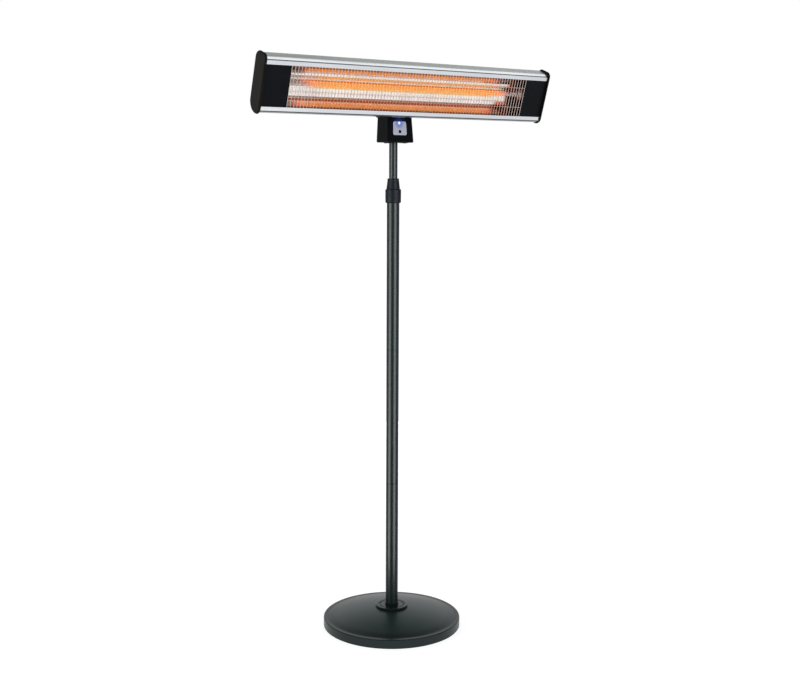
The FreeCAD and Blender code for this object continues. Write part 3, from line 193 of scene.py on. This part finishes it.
# Box behind the stand, which only the base's gloss shows
BACK_AZIMUTH = 148
BACK_AWAY = 1.97
BACK_HEIGHT = 1.25
BACK_WIDTH = 3.0
BACK_LENGTH = 1.2
BACK_POWER = 7.0
BACK_AIM = 0
BACK_COLOUR = (0.82, 0.98, 1.0)
BACK_NODES = ("base_cover", "pole_flange")

# Box overhead, which only the bare rails show
OVERHEAD_PLACE = (1.1, -0.6, 2.65)
OVERHEAD_WIDTH = 2.6
OVERHEAD_LENGTH = 1.9
OVERHEAD_POWER = 17
OVERHEAD_NODES = ("upper_rail", "lower_rail")

# Plain ends of masks
BLACK = (0, 0, 0, 1)
WHITE = (1, 1, 1, 1)

# A Mix node's colour sockets by number, because they share their names with others
MIX_FACTOR = 0
MIX_FIRST = 6
MIX_SECOND = 7
MIX_RESULT = 2


def linear(part):
    """One channel of a screen colour, from 0 to 1, made linear by the standard sRGB curve."""
    if part <= 0.04045:
        return part / 12.92
    return ((part + 0.055) / 1.055) ** 2.4


def tone(red, green, blue):
    """A screen colour from 0 to 255 as the linear colour that shaders take."""
    return (*[linear(part / 255) for part in (red, green, blue)], 1)


class Nodes:
    """A node tree, with helpers that add nodes and feed their inputs."""

    def __init__(self, tree):
        self.tree = tree

    def add(self, kind, **settings):
        """A new node with these settings."""
        node = self.tree.nodes.new(kind)
        for name, value in settings.items():
            setattr(node, name, value)
        return node

    def put(self, socket, source):
        """Links another socket to this one, or sets a plain value on it."""
        if isinstance(source, bpy.types.NodeSocket):
            self.tree.links.new(source, socket)
        else:
            socket.default_value = source

    def feed(self, node, **sources):
        """Sets or links the node's inputs by name."""
        for name, source in sources.items():
            self.put(node.inputs[name.replace("_", " ")], source)
        return node

    def fill(self, node, *sources):
        """Sets or links the node's first inputs in their order."""
        for socket, source in zip(node.inputs, sources):
            self.put(socket, source)
        return node

    def maths(self, operation, first, second):
        """A Math node's result for two numbers."""
        node = self.fill(self.add("ShaderNodeMath", operation=operation), first, second)
        return node.outputs["Value"]

    def part_of(self, place, axis):
        """A place's X, Y or Z."""
        node = self.feed(self.add("ShaderNodeSeparateXYZ"), Vector=place)
        return node.outputs[axis]

    def ranged(self, factor, low, high, start=0.0, end=1.0):
        """A factor from start to end, spread over low to high."""
        node = self.feed(self.add("ShaderNodeMapRange"), Value=factor, To_Min=low, To_Max=high)
        return self.feed(node, From_Min=start, From_Max=end).outputs["Result"]

    def rising(self, factor, start, end):
        """0 up to start and 1 from end on."""
        return self.ranged(factor, 0, 1, start, end)

    def falling(self, factor, start, end):
        """1 up to start and 0 from end on."""
        return self.ranged(factor, 1, 0, start, end)

    def within(self, factor, low, high, fade):
        """1 from low to high, fading to 0 on both sides."""
        above = self.rising(factor, low - fade, low)
        below = self.falling(factor, high, high + fade)
        return self.maths("MINIMUM", above, below)

    def ramp(self, factor, *stops):
        """A colour for each (place, colour) stop along the factor."""
        node = self.feed(self.add("ShaderNodeValToRGB"), Fac=factor)
        marks = node.color_ramp.elements
        while len(marks) < len(stops):
            marks.new(1)
        for mark, (place, colour) in zip(marks, stops):
            mark.position = place
            mark.color = colour
        return node.outputs["Color"]

    def seen(self):
        """1 for rays from the camera, mirrors and glass, and 0 for the light that falls on the object."""
        path = self.add("ShaderNodeLightPath")
        total = path.outputs["Is Camera Ray"]
        for name in ("Is Glossy Ray", "Is Transmission Ray"):
            total = self.maths("MAXIMUM", total, path.outputs[name])
        return total


class Finish(Nodes):
    """A material on one Principled shader, with helpers that feed its sockets from textures."""

    def __init__(self, name, **constants):
        self.material = bpy.data.materials.new(name)
        self.material.use_nodes = True
        super().__init__(self.material.node_tree)
        self.shader = self.feed(self.tree.nodes["Principled BSDF"], **constants)
        self.place = self.add("ShaderNodeTexCoord").outputs["Object"]

    def on_head(self):
        """Places in the head's own frame."""
        node = self.add("ShaderNodeMapping", vector_type="TEXTURE")
        self.feed(node, Vector=self.place, Location=HEAD_PLACE, Rotation=Euler((HEAD_TILT, 0, 0)))
        return node.outputs["Vector"]

    def stretched(self, factors, place=None):
        """Places scaled by a factor for each axis."""
        node = self.feed(self.add("ShaderNodeMapping"), Vector=place or self.place, Scale=factors)
        return node.outputs["Vector"]

    def noise(self, scale=1.0, detail=2.0, place=None, roughness=0.5):
        """Cloudy noise from 0 to 1."""
        node = self.add("ShaderNodeTexNoise")
        self.feed(node, Vector=place or self.place, Scale=scale, Detail=detail, Roughness=roughness)
        return node.outputs["Fac"]

    def cells(self, scale, place=None):
        """Cells, each with a value of its own."""
        node = self.feed(self.add("ShaderNodeTexVoronoi"), Vector=place or self.place, Scale=scale)
        return node.outputs["Color"]

    def near(self, point, radius):
        """1 at a point, falling to 0 at a radius from it."""
        away = self.fill(self.add("ShaderNodeVectorMath", operation="DISTANCE"), self.place, point)
        return self.falling(away.outputs["Value"], 0, radius)

    def mottled(self, factor, dark, light, low=0.3, high=0.7):
        """Dark to light over the middle of a noise."""
        return self.ramp(factor, (low, dark), (high, light))

    def blended(self, first, second, factor, kind="MIX"):
        """Two colours mixed by a factor."""
        node = self.add("ShaderNodeMix", data_type="RGBA", blend_type=kind)
        for number, source in ((MIX_FACTOR, factor), (MIX_FIRST, first), (MIX_SECOND, second)):
            self.put(node.inputs[number], source)
        return node.outputs[MIX_RESULT]

    def times(self, first, second):
        """One colour multiplied by another."""
        return self.blended(first, second, 1.0, "MULTIPLY")

    def shown(self):
        """The colour that the shader has so far."""
        return self.shader.inputs["Base Color"].links[0].from_socket

    def colour(self, source):
        """Gives the shader its colour."""
        self.feed(self.shader, Base_Color=source)

    def rough(self, factor, low, high):
        """Gives the shader a roughness from low to high."""
        self.feed(self.shader, Roughness=self.ranged(factor, low, high))

    def bumpy(self, height, strength, distance=0.0002):
        """Gives the shader a relief."""
        node = self.feed(self.add("ShaderNodeBump"), Height=height, Strength=strength, Distance=distance)
        self.feed(self.shader, Normal=node.outputs["Normal"])


def heat(finish, place):
    """1 along the lamp's glow, falling to 0 at both of its ends."""
    along = finish.part_of(place, "X")
    left = finish.rising(along, GLOW_LEFT - GLOW_OUTWARD, GLOW_LEFT + GLOW_INWARD)
    right = finish.falling(along, GLOW_RIGHT - GLOW_INWARD, GLOW_RIGHT + GLOW_OUTWARD)
    return finish.maths("MINIMUM", left, right)


def glow_band(finish, place, low, high):
    """1 between two heights along the lamp's glow, fading to 0 round it."""
    band = finish.within(finish.part_of(place, "Z"), low, high, BAND_FADE)
    return finish.maths("MULTIPLY", band, heat(finish, place))


def powder_coat(name, dark, light, low, high, specular):
    """Powder coat: a fine grain over faint clouds."""
    finish = Finish(name, Specular_IOR_Level=specular)
    finish.colour(finish.mottled(finish.noise(scale=7, detail=3), dark, light))
    grain = finish.noise(scale=1100)
    finish.rough(grain, low, high)
    finish.bumpy(grain, strength=0.008)
    return finish


def tube_paint():
    """The coat of the pole's tubes."""
    finish = powder_coat("tube_paint", dark=tone(15, 23, 23), light=tone(20, 29, 28), low=0.23, high=0.30,
                         specular=0.11)
    return finish.material


def base_paint():
    """The base's coat, with a painted dark reflection in the gutter of its rim and painted light that
    makes its upright edge paler.
    """
    finish = powder_coat("base_paint", dark=tone(18, 33, 34), light=tone(23, 38, 39), low=0.31, high=0.39,
                         specular=0.16)
    # Painted dark reflection: the gutter inside the rim is darkened
    painted_dark_reflection = tone(9, 17, 18)
    # Painted light: the upright edge below EDGE_TOP is made paler
    painted_edge_light = tone(48, 58, 57)
    inward = finish.near((0, 0, EDGE_TOP), BASE_RADIUS)
    gutter = finish.ramp(inward, *zip(GUTTER, (BLACK, WHITE, WHITE, BLACK)))
    edge = finish.falling(finish.part_of(finish.place, "Z"), EDGE_TOP - EDGE_FADE, EDGE_TOP + EDGE_FADE)
    finish.colour(finish.blended(finish.blended(finish.shown(), painted_dark_reflection, gutter), painted_edge_light, edge))
    return finish.material


def moulded_plastic(name, dark, light, low, high, specular):
    """Moulded plastic with a fine spark-eroded grain."""
    finish = Finish(name, Specular_IOR_Level=specular)
    finish.colour(finish.mottled(finish.noise(scale=26, detail=3), dark, light))
    finish.rough(finish.noise(scale=420), low, high)
    finish.bumpy(finish.noise(scale=1700, detail=1), strength=0.15)
    return finish


def black_plastic():
    """Black mouldings, paler at the back of the box, with painted blue light of the panel lamp on its
    front.
    """
    finish = moulded_plastic("black_moulding", dark=tone(5, 7, 11), light=tone(10, 13, 18), low=0.40,
                             high=0.52, specular=0.045)
    paler = tone(30, 32, 35)
    depth = finish.part_of(finish.place, "Y")
    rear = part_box("control_housing")[1][1]
    paler_back = finish.rising(depth, rear - PALER_START, rear - PALER_FULL)
    finish.colour(finish.blended(finish.shown(), paler, paler_back))
    # Painted blue light: the box's front near the panel lamp glows blue, though it is no lamp
    front = finish.falling(depth, LED_PLACE.y + FRONT_NEAR, LED_PLACE.y + FRONT_FAR)
    lit = finish.maths("MULTIPLY", finish.near(LED_PLACE, BOX_REACH), front)
    painted_blue_light = finish.ramp(lit, (0.0, BLACK), (0.45, tone(6, 12, 34)), (0.8, tone(26, 42, 100)))
    finish.feed(finish.shader, Emission_Color=painted_blue_light, Emission_Strength=1.0)
    return finish.material


def cap_plastic():
    """The warm black of the end caps."""
    finish = moulded_plastic("cap_moulding", dark=tone(21, 21, 18), light=tone(30, 29, 26), low=0.42,
                             high=0.55, specular=0.06)
    return finish.material


def natural_plastic():
    """Undyed plastic, off-white."""
    finish = moulded_plastic("natural_moulding", dark=tone(196, 192, 182), light=tone(216, 213, 204),
                             low=0.35, high=0.45, specular=0.4)
    return finish.material


def painted_sheet(name, specular):
    """Painted steel sheet with the faint orange peel of its coat."""
    finish = Finish(name, Specular_IOR_Level=specular)
    finish.colour(finish.mottled(finish.noise(scale=18, detail=3), tone(15, 18, 22), tone(23, 26, 31)))
    peel = finish.noise(scale=480, detail=1)
    finish.rough(peel, low=0.40, high=0.52)
    finish.bumpy(peel, strength=0.08)
    return finish.material


def rail_aluminium():
    """Drawn aluminium: fine lines along the rail and long soft patches, with painted shade below and in
    its notch.
    """
    finish = Finish("drawn_aluminium", Metallic=1.0)
    place = finish.on_head()
    height = finish.part_of(place, "Z")
    shaded = tone(146, 150, 154)
    lines = finish.noise(detail=4, place=finish.stretched((3, 2600, 2600), place), roughness=0.7)
    patches = finish.noise(place=finish.stretched((4, 60, 60), place))
    fine = finish.mottled(lines, tone(196, 200, 203), tone(226, 229, 232))
    wide = finish.mottled(patches, tone(236, 236, 240), WHITE)
    # Painted shade: darker on the lower rail's underside
    upward = finish.rising(height, UNDERSIDE_LOW, UNDERSIDE_HIGH)
    underside_shade = finish.ramp(upward, (0.0, tone(134, 136, 138)), (1.0, WHITE))
    lines_with_underside_shade = finish.times(finish.times(fine, wide), underside_shade)
    # Painted shade: a dark line in the upper rail's notch
    inside = finish.falling(finish.part_of(place, "Y"), NOTCH_FRONT, NOTCH_BACK)
    notch = finish.maths("MULTIPLY", inside, finish.within(height, NOTCH_LOW, NOTCH_HIGH, NOTCH_FADE))
    finish.colour(finish.blended(lines_with_underside_shade, shaded, notch))
    finish.rough(lines, low=0.20, high=0.36)
    finish.bumpy(lines, strength=0.03)
    return finish.material


def bright_aluminium():
    """The reflector's polished sheet, a little wavy, tinted straw behind the lamp and greyer at the top of
    its left end, with painted shade, a painted reflection of the lamp's red glow and a painted red glow at
    its right end.
    """
    finish = Finish("polished_aluminium", Metallic=1.0)
    place = finish.on_head()
    along = finish.part_of(place, "X")
    height = finish.part_of(place, "Z")
    straw_tint = tone(242, 196, 132)
    painted_red_glow = tone(196, 104, 84)
    grey = tone(150, 146, 142)
    waves = finish.noise(place=finish.stretched((160, 14, 14), place))
    bright = finish.mottled(waves, tone(236, 232, 230), tone(254, 252, 250))
    # The sheet's tone by height, with its painted shade and painted reflection of the glow
    stops = [((mark + FOLD_REACH) / FOLD_REACH / 2, tone(*colour)) for mark, colour in SHEET_TONES_WITH_PAINTED_SHADE_AND_GLOW]
    striped = finish.times(bright, finish.ramp(finish.rising(height, -FOLD_REACH, FOLD_REACH), *stops))
    # Tinted straw behind the lamp, along its glow
    straw = glow_band(finish, place, STRAW_LOW, STRAW_HIGH)
    straw_tinted = finish.blended(striped, straw_tint, straw, "MULTIPLY")
    # Painted red glow: the right end and the right of the foot are red-brown
    end = finish.rising(along, RED_GLOW_END, RED_GLOW_END + TINT_RUN)
    foot = finish.falling(height, FOOT_HEIGHT - TINT_FADE, FOOT_HEIGHT + TINT_FADE)
    foot_end = finish.maths("MULTIPLY", foot, finish.rising(along, RED_GLOW_FOOT, RED_GLOW_FOOT + TINT_RUN))
    right = finish.blended(straw_tinted, painted_red_glow, finish.maths("MAXIMUM", end, foot_end))
    # Greyer at the top of the left end
    top = finish.rising(height, TOP_HEIGHT - TINT_FADE, TOP_HEIGHT + TINT_FADE)
    top_end = finish.maths("MULTIPLY", top, finish.falling(along, GREY_TOP_END, GREY_TOP_END + TOP_RUN))
    finish.colour(finish.blended(right, grey, top_end))
    finish.rough(waves, low=0.12, high=0.20)
    finish.bumpy(waves, strength=0.10, distance=0.0006)
    return finish.material


def guard_steel():
    """Bright plated wire, tinted gold and copper in front of the lamp."""
    finish = Finish("plated_wire", Metallic=0.9)
    place = finish.on_head()
    gold = tone(240, 204, 150)
    copper = tone(208, 150, 126)
    marks = finish.noise(scale=300, detail=3)
    plain = finish.mottled(marks, tone(186, 170, 162), tone(222, 208, 200))
    middle = finish.blended(plain, gold, glow_band(finish, place, *TINTED_MIDDLE))
    finish.colour(finish.blended(middle, copper, glow_band(finish, place, *TINTED_FOOT)))
    finish.rough(marks, low=0.24, high=0.40)
    finish.bumpy(marks, strength=0.05, distance=0.0001)
    return finish.material


def zinc_steel():
    """Zinc plate with its pale spangle."""
    finish = Finish("zinc_plate", Metallic=1.0)
    spangle = finish.cells(scale=260)
    finish.colour(finish.ramp(spangle, (0.0, tone(150, 153, 158)), (1.0, tone(198, 200, 204))))
    finish.rough(finish.noise(scale=180), low=0.28, high=0.46)
    finish.bumpy(finish.noise(scale=700), strength=0.05)
    return finish.material


def panel_plastic():
    """The pale panel, with painted blue light and a painted glow of its lamp round it."""
    finish = Finish("panel_moulding", Specular_IOR_Level=0.3)
    blue = tone(154, 166, 236)
    grain = finish.noise(scale=900)
    plain = finish.mottled(grain, tone(214, 217, 236), tone(224, 227, 246))
    # Painted blue light: the panel turns blue near its lamp
    painted_blue_light = finish.ramp(finish.near(LED_PLACE, PANEL_REACH), (0.15, BLACK), (0.65, WHITE))
    finish.colour(finish.blended(plain, blue, painted_blue_light))
    # Painted glow: the panel emits its lamp's blue round it, though it is no lamp
    glow = finish.ramp(finish.near(LED_PLACE, GLOW_REACH), (0.0, BLACK), (0.45, tone(66, 88, 176)),
                       (0.75, tone(226, 234, 255)))
    finish.feed(finish.shader, Emission_Color=glow, Emission_Strength=0.8)
    finish.rough(grain, low=0.34, high=0.46)
    return finish.material


def led_plastic():
    """A lit lens: white in its middle, blue round it."""
    finish = Finish("lit_lens", Roughness=0.15, Emission_Strength=1.6)
    core = finish.near(LED_PLACE, LENS_REACH)
    finish.colour(finish.ramp(core, (0.0, tone(150, 170, 240)), (1.0, tone(240, 244, 255))))
    glow = finish.ramp(core, (0.0, tone(190, 205, 255)), (0.4, tone(250, 252, 255)))
    finish.feed(finish.shader, Emission_Color=glow)
    return finish.material


def board_laminate():
    """Circuit board: green lacquer with faint tracks."""
    finish = Finish("board_lacquer", Specular_IOR_Level=0.5)
    tracks = finish.cells(scale=190, place=finish.stretched((1, 1, 0.35)))
    finish.colour(finish.mottled(tracks, tone(16, 74, 44), tone(34, 104, 62), low=0.35, high=0.65))
    finish.rough(finish.noise(scale=240), low=0.25, high=0.4)
    return finish.material


def quartz():
    """Clear quartz that the element's glow fills."""
    finish = Finish("hot_quartz", Roughness=0.08, IOR=1.45, Transmission_Weight=0.75,
                    Emission_Strength=0.38)
    place = finish.on_head()
    amber = tone(240, 194, 128)
    hot = heat(finish, place)
    flicker = finish.noise(detail=3, place=finish.stretched((240, 60, 60), place))
    glow = finish.ramp(hot, (0.0, tone(30, 8, 5)), (0.10, tone(200, 52, 16)), (0.30, tone(226, 116, 40)),
                       (1.0, tone(226, 156, 76)))
    pale = finish.mottled(flicker, tone(236, 214, 190), WHITE, low=0.35)
    clear = finish.mottled(flicker, tone(246, 232, 226), tone(255, 246, 242))
    finish.colour(finish.blended(clear, amber, hot))
    finish.feed(finish.shader, Emission_Color=finish.times(glow, pale))
    return finish.material


def element_carbon():
    """The glowing coil."""
    finish = Finish("hot_carbon", Emission_Strength=0.4)
    hot = heat(finish, finish.on_head())
    finish.colour(finish.mottled(finish.noise(scale=900), tone(20, 18, 17), tone(40, 34, 30)))
    finish.rough(finish.noise(scale=600), low=0.6, high=0.8)
    glow = finish.ramp(hot, (0.0, tone(26, 8, 6)), (0.2, tone(214, 70, 22)), (1.0, tone(255, 196, 96)))
    finish.feed(finish.shader, Emission_Color=glow)
    return finish.material


def white_ceramic():
    """Unglazed ceramic, warm white."""
    finish = Finish("bare_ceramic", Specular_IOR_Level=0.35)
    speckle = finish.noise(scale=380, detail=3)
    finish.colour(finish.mottled(speckle, tone(214, 198, 172), tone(232, 220, 200)))
    finish.rough(speckle, low=0.5, high=0.7)
    finish.bumpy(speckle, strength=0.1, distance=0.0003)
    return finish.material


def concrete():
    """Cast weight: grey with pores and sand."""
    finish = Finish("cast_concrete", Specular_IOR_Level=0.25)
    sand = finish.noise(scale=140, detail=6, roughness=0.7)
    finish.colour(finish.mottled(sand, tone(112, 110, 104), tone(156, 153, 146)))
    finish.rough(sand, low=0.75, high=0.95)
    finish.bumpy(sand, strength=0.5, distance=0.001)
    return finish.material


def pad_rubber():
    """Dull black rubber feet."""
    finish = Finish("foot_rubber", Specular_IOR_Level=0.2)
    dust = finish.noise(scale=320, detail=4)
    finish.colour(finish.mottled(dust, tone(24, 24, 24), tone(40, 40, 39)))
    finish.rough(dust, low=0.7, high=0.9)
    finish.bumpy(dust, strength=0.2, distance=0.0003)
    return finish.material


# A finish for each material slot of the record
FINISHES = {
    "black_paint": tube_paint(),
    "black_plastic": black_plastic(),
    "cap_plastic": cap_plastic(),
    "natural_plastic": natural_plastic(),
    "black_sheet": painted_sheet("matte_sheet", specular=0.06),
    "rail_aluminium": rail_aluminium(),
    "bright_aluminium": bright_aluminium(),
    "guard_steel": guard_steel(),
    "zinc_steel": zinc_steel(),
    "panel_plastic": panel_plastic(),
    "led_plastic": led_plastic(),
    "board_laminate": board_laminate(),
    "quartz": quartz(),
    "element_carbon": element_carbon(),
    "white_ceramic": white_ceramic(),
    "concrete": concrete(),
    "pad_rubber": pad_rubber(),
}


def dress_nodes():
    """Gives each CAD node the finishes of its slots, and a finish of their own to a few."""
    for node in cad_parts.values():
        for holder in node.material_slots:
            holder.material = FINISHES[holder.material.name]
    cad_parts["base_cover"].material_slots[0].material = base_paint()
    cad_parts["pole_flange"].material_slots[0].material = FINISHES["black_paint"]
    satin = painted_sheet("satin_sheet", specular=0.30)
    for name in SATIN_NODES:
        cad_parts[name].material_slots[0].material = satin


def swept(mesh, points, radius, sides):
    """Adds a round wire along the points to the mesh, with closed ends."""
    rings = []
    lean = None
    for index, point in enumerate(points):
        before = points[max(index - 1, 0)]
        after = points[min(index + 1, len(points) - 1)]
        run = (after - before).normalized()
        if lean is None:
            lean = run.orthogonal()
        lean = (lean - run * lean.dot(run)).normalized()
        across = run.cross(lean)
        ring = []
        for side in range(sides):
            turn = math.tau * side / sides
            ring.append(mesh.verts.new(point + (lean * math.cos(turn) + across * math.sin(turn)) * radius))
        rings.append(ring)
    for low, high in zip(rings, rings[1:]):
        for side in range(sides):
            other = (side + 1) % sides
            mesh.faces.new((low[side], low[other], high[other], high[side]))
    mesh.faces.new(rings[0][::-1])
    mesh.faces.new(rings[-1])


def piece_of(name, mesh, place, body, slot, nodes):
    """Makes a piece of the mesh, rides it on its body and lets it stand for the nodes."""
    mesh.transform(place)
    bmesh.ops.recalc_face_normals(mesh, faces=mesh.faces)
    data = bpy.data.meshes.new(name)
    mesh.to_mesh(data)
    mesh.free()
    data.shade_smooth()
    data.set_sharp_from_angle(angle=SHARP_ANGLE)
    data.materials.append(FINISHES[slot])
    piece = bpy.data.objects.new(name, data)
    bpy.context.scene.collection.objects.link(piece)
    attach(piece, body)
    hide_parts(*nodes)


def guard_wires():
    """Upright wires with two bars welded behind them, between two border wires."""
    mesh = bmesh.new()
    pitch = GUARD_FIRST * 2 / (GUARD_WIRES - 1)
    for number in range(GUARD_WIRES):
        x = pitch * number - GUARD_FIRST
        ends = [Vector((x, GUARD_DEPTH, height)) for height in (-GUARD_REACH, GUARD_REACH)]
        swept(mesh, ends, GUARD_WIRE, WIRE_SIDES)
    for height in (-GUARD_BAR_HEIGHT, GUARD_BAR_HEIGHT):
        ends = [Vector((x, GUARD_BAR_DEPTH, height)) for x in (-GUARD_HALF, GUARD_HALF)]
        swept(mesh, ends, GUARD_WIRE, WIRE_SIDES)
    for height in (-GUARD_REACH, GUARD_REACH):
        ends = [Vector((x, GUARD_DEPTH, height)) for x in (-GUARD_HALF, GUARD_HALF)]
        swept(mesh, ends, GUARD_BORDER, WIRE_SIDES)
    piece_of("guard_wires", mesh, HEAD, "heater_head", "guard_steel", ["guard_grille"])


def lamp_coil():
    """The element wound as a close coil, with straight tails into the lamp's caps."""
    mesh = bmesh.new()
    turns = (GLOW_RIGHT - GLOW_LEFT) / COIL_PITCH
    count = int(turns * COIL_STEPS)
    points = [Vector((-LAMP_HALF, LAMP_DEPTH, LAMP_HEIGHT))]
    for step in range(count + 1):
        turn = math.tau * step / COIL_STEPS
        x = GLOW_LEFT + COIL_PITCH * step / COIL_STEPS
        points.append(Vector((x, LAMP_DEPTH + COIL_RADIUS * math.cos(turn),
                              LAMP_HEIGHT + COIL_RADIUS * math.sin(turn))))
    points.append(Vector((LAMP_HALF, LAMP_DEPTH, LAMP_HEIGHT)))
    swept(mesh, points, COIL_WIRE, COIL_SIDES)
    piece_of("lamp_coil", mesh, HEAD, "heater_head", "element_carbon", ["heating_element"])


def studio_floor():
    """A pale floor that shows white to the camera, in mirrors and through glass, and keeps a shadow."""
    data = bpy.data.meshes.new("floor")
    corners = [(x * FLOOR_REACH, y * FLOOR_REACH, 0) for x, y in ((-1, -1), (1, -1), (1, 1), (-1, 1))]
    data.from_pydata(corners, [], [(0, 1, 2, 3)])
    floor = bpy.data.objects.new("floor", data)
    bpy.context.scene.collection.objects.link(floor)
    material = bpy.data.materials.new("pale_floor")
    material.use_nodes = True
    nodes = Nodes(material.node_tree)
    nodes.tree.nodes.clear()
    plain = nodes.feed(nodes.add("ShaderNodeBsdfDiffuse"), Color=FLOOR_GREY)
    place = nodes.add("ShaderNodeTexCoord").outputs["Object"]
    away = nodes.feed(nodes.add("ShaderNodeVectorMath", operation="LENGTH"), Vector=place)
    level = nodes.ranged(away.outputs["Value"], FLOOR_GLOW, 1, FLOOR_NEAR, FLOOR_FAR)
    white = nodes.feed(nodes.add("ShaderNodeEmission"), Color=level, Strength=nodes.seen())
    both = nodes.fill(nodes.add("ShaderNodeAddShader"), plain.outputs["BSDF"], white.outputs["Emission"])
    nodes.feed(nodes.add("ShaderNodeOutputMaterial"), Surface=both.outputs["Shader"])
    data.materials.append(material)


def studio_world():
    """White all round for what is seen, greyer overhead, and a soft even light for the rest."""
    world = bpy.data.worlds.new("studio")
    bpy.context.scene.world = world
    world.use_nodes = True
    nodes = Nodes(world.node_tree)
    nodes.tree.nodes.clear()
    soft = nodes.feed(nodes.add("ShaderNodeBackground"), Color=SOFT_COLOUR, Strength=SOFT_STRENGTH)
    place = nodes.add("ShaderNodeTexCoord").outputs["Generated"]
    sky = nodes.ramp(nodes.part_of(place, "Z"), (WHITE_HEIGHT, WHITE), (GREY_HEIGHT, HIGH_GREY))
    white = nodes.feed(nodes.add("ShaderNodeBackground"), Color=sky)
    mixed = nodes.fill(nodes.add("ShaderNodeMixShader"), nodes.seen(), soft.outputs["Background"],
                       white.outputs["Background"])
    nodes.feed(nodes.add("ShaderNodeOutputWorld"), Surface=mixed.outputs["Shader"])


def area_lamp(name, width, length, power):
    """A rectangular lamp that faces down."""
    data = bpy.data.lights.new(name, "AREA")
    data.shape = "RECTANGLE"
    data.size = width
    data.size_y = length
    data.energy = power
    lamp = bpy.data.objects.new(name, data)
    bpy.context.scene.collection.objects.link(lamp)
    return lamp


def stand_round(lamp, azimuth, away, height, aim):
    """Stands a lamp at an azimuth from the front, turned to a height on the pole."""
    turn = math.radians(azimuth)
    lamp.location = (math.sin(turn) * away, -math.cos(turn) * away, height)
    lamp.rotation_euler = (Vector((0, 0, aim)) - lamp.location).to_track_quat("-Z", "Y").to_euler()


def node_group(name, nodes):
    """A collection of CAD nodes, for lamps that only they receive."""
    group = bpy.data.collections.new(name)
    for node in nodes:
        group.objects.link(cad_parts[node])
    return group


def gloss_only(lamp, group):
    """Lets a lamp show only in the gloss of a group of nodes."""
    lamp.visible_camera = False
    lamp.visible_diffuse = False
    lamp.light_linking.receiver_collection = group


def soft_boxes():
    """The soft boxes that light the heater, unseen in its gloss."""
    for name, azimuth in BOX_AZIMUTHS.items():
        box = area_lamp(name, BOX_WIDTH, BOX_LENGTH, BOX_POWER)
        stand_round(box, azimuth, BOX_AWAY, BOX_HEIGHT, BOX_AIM)
        box.visible_glossy = False


def gloss_strips():
    """Two upright strips beside the stand, which show in the gloss of its black parts."""
    group = node_group("glossy_stand", STRIP_NODES)
    middle = (STRIP_LOW + STRIP_HIGH) / 2
    for name, (azimuth, colour) in STRIPS.items():
        strip = area_lamp(name, STRIP_WIDTH, STRIP_HIGH - STRIP_LOW, STRIP_POWER)
        stand_round(strip, azimuth, STRIP_AWAY, middle, middle)
        strip.data.color = colour
        gloss_only(strip, group)


def back_box():
    """A broad soft light behind the stand, which shows in the gloss of its base."""
    box = area_lamp("back_box", BACK_WIDTH, BACK_LENGTH, BACK_POWER)
    stand_round(box, BACK_AZIMUTH, BACK_AWAY, BACK_HEIGHT, BACK_AIM)
    box.data.color = BACK_COLOUR
    gloss_only(box, node_group("glossy_base", BACK_NODES))


def overhead_box():
    """A broad soft light above the head, which shows in its bare aluminium."""
    box = area_lamp("overhead_box", OVERHEAD_WIDTH, OVERHEAD_LENGTH, OVERHEAD_POWER)
    box.location = OVERHEAD_PLACE
    gloss_only(box, node_group("bright_rails", OVERHEAD_NODES))


def studio_camera():
    """The photograph's camera."""
    data = bpy.data.cameras.new("camera")
    data.sensor_width = SENSOR_WIDTH
    data.lens = FOCAL_PIXELS * SENSOR_WIDTH / IMAGE_WIDTH
    camera = bpy.data.objects.new("camera", data)
    turn = Matrix.Rotation(math.radians(CAMERA_YAW), 4, "Z")
    turn = turn @ Matrix.Rotation(math.radians(LEVEL_VIEW - CAMERA_PITCH), 4, "X")
    turn = turn @ Matrix.Rotation(math.radians(CAMERA_ROLL), 4, "Z")
    camera.matrix_world = Matrix.Translation(CAMERA_PLACE) @ turn
    bpy.context.scene.collection.objects.link(camera)
    bpy.context.scene.camera = camera


dress_nodes()
guard_wires()
lamp_coil()
studio_floor()
studio_world()
soft_boxes()
gloss_strips()
back_box()
overhead_box()
studio_camera()
bpy.context.scene.view_settings.view_transform = "Standard"
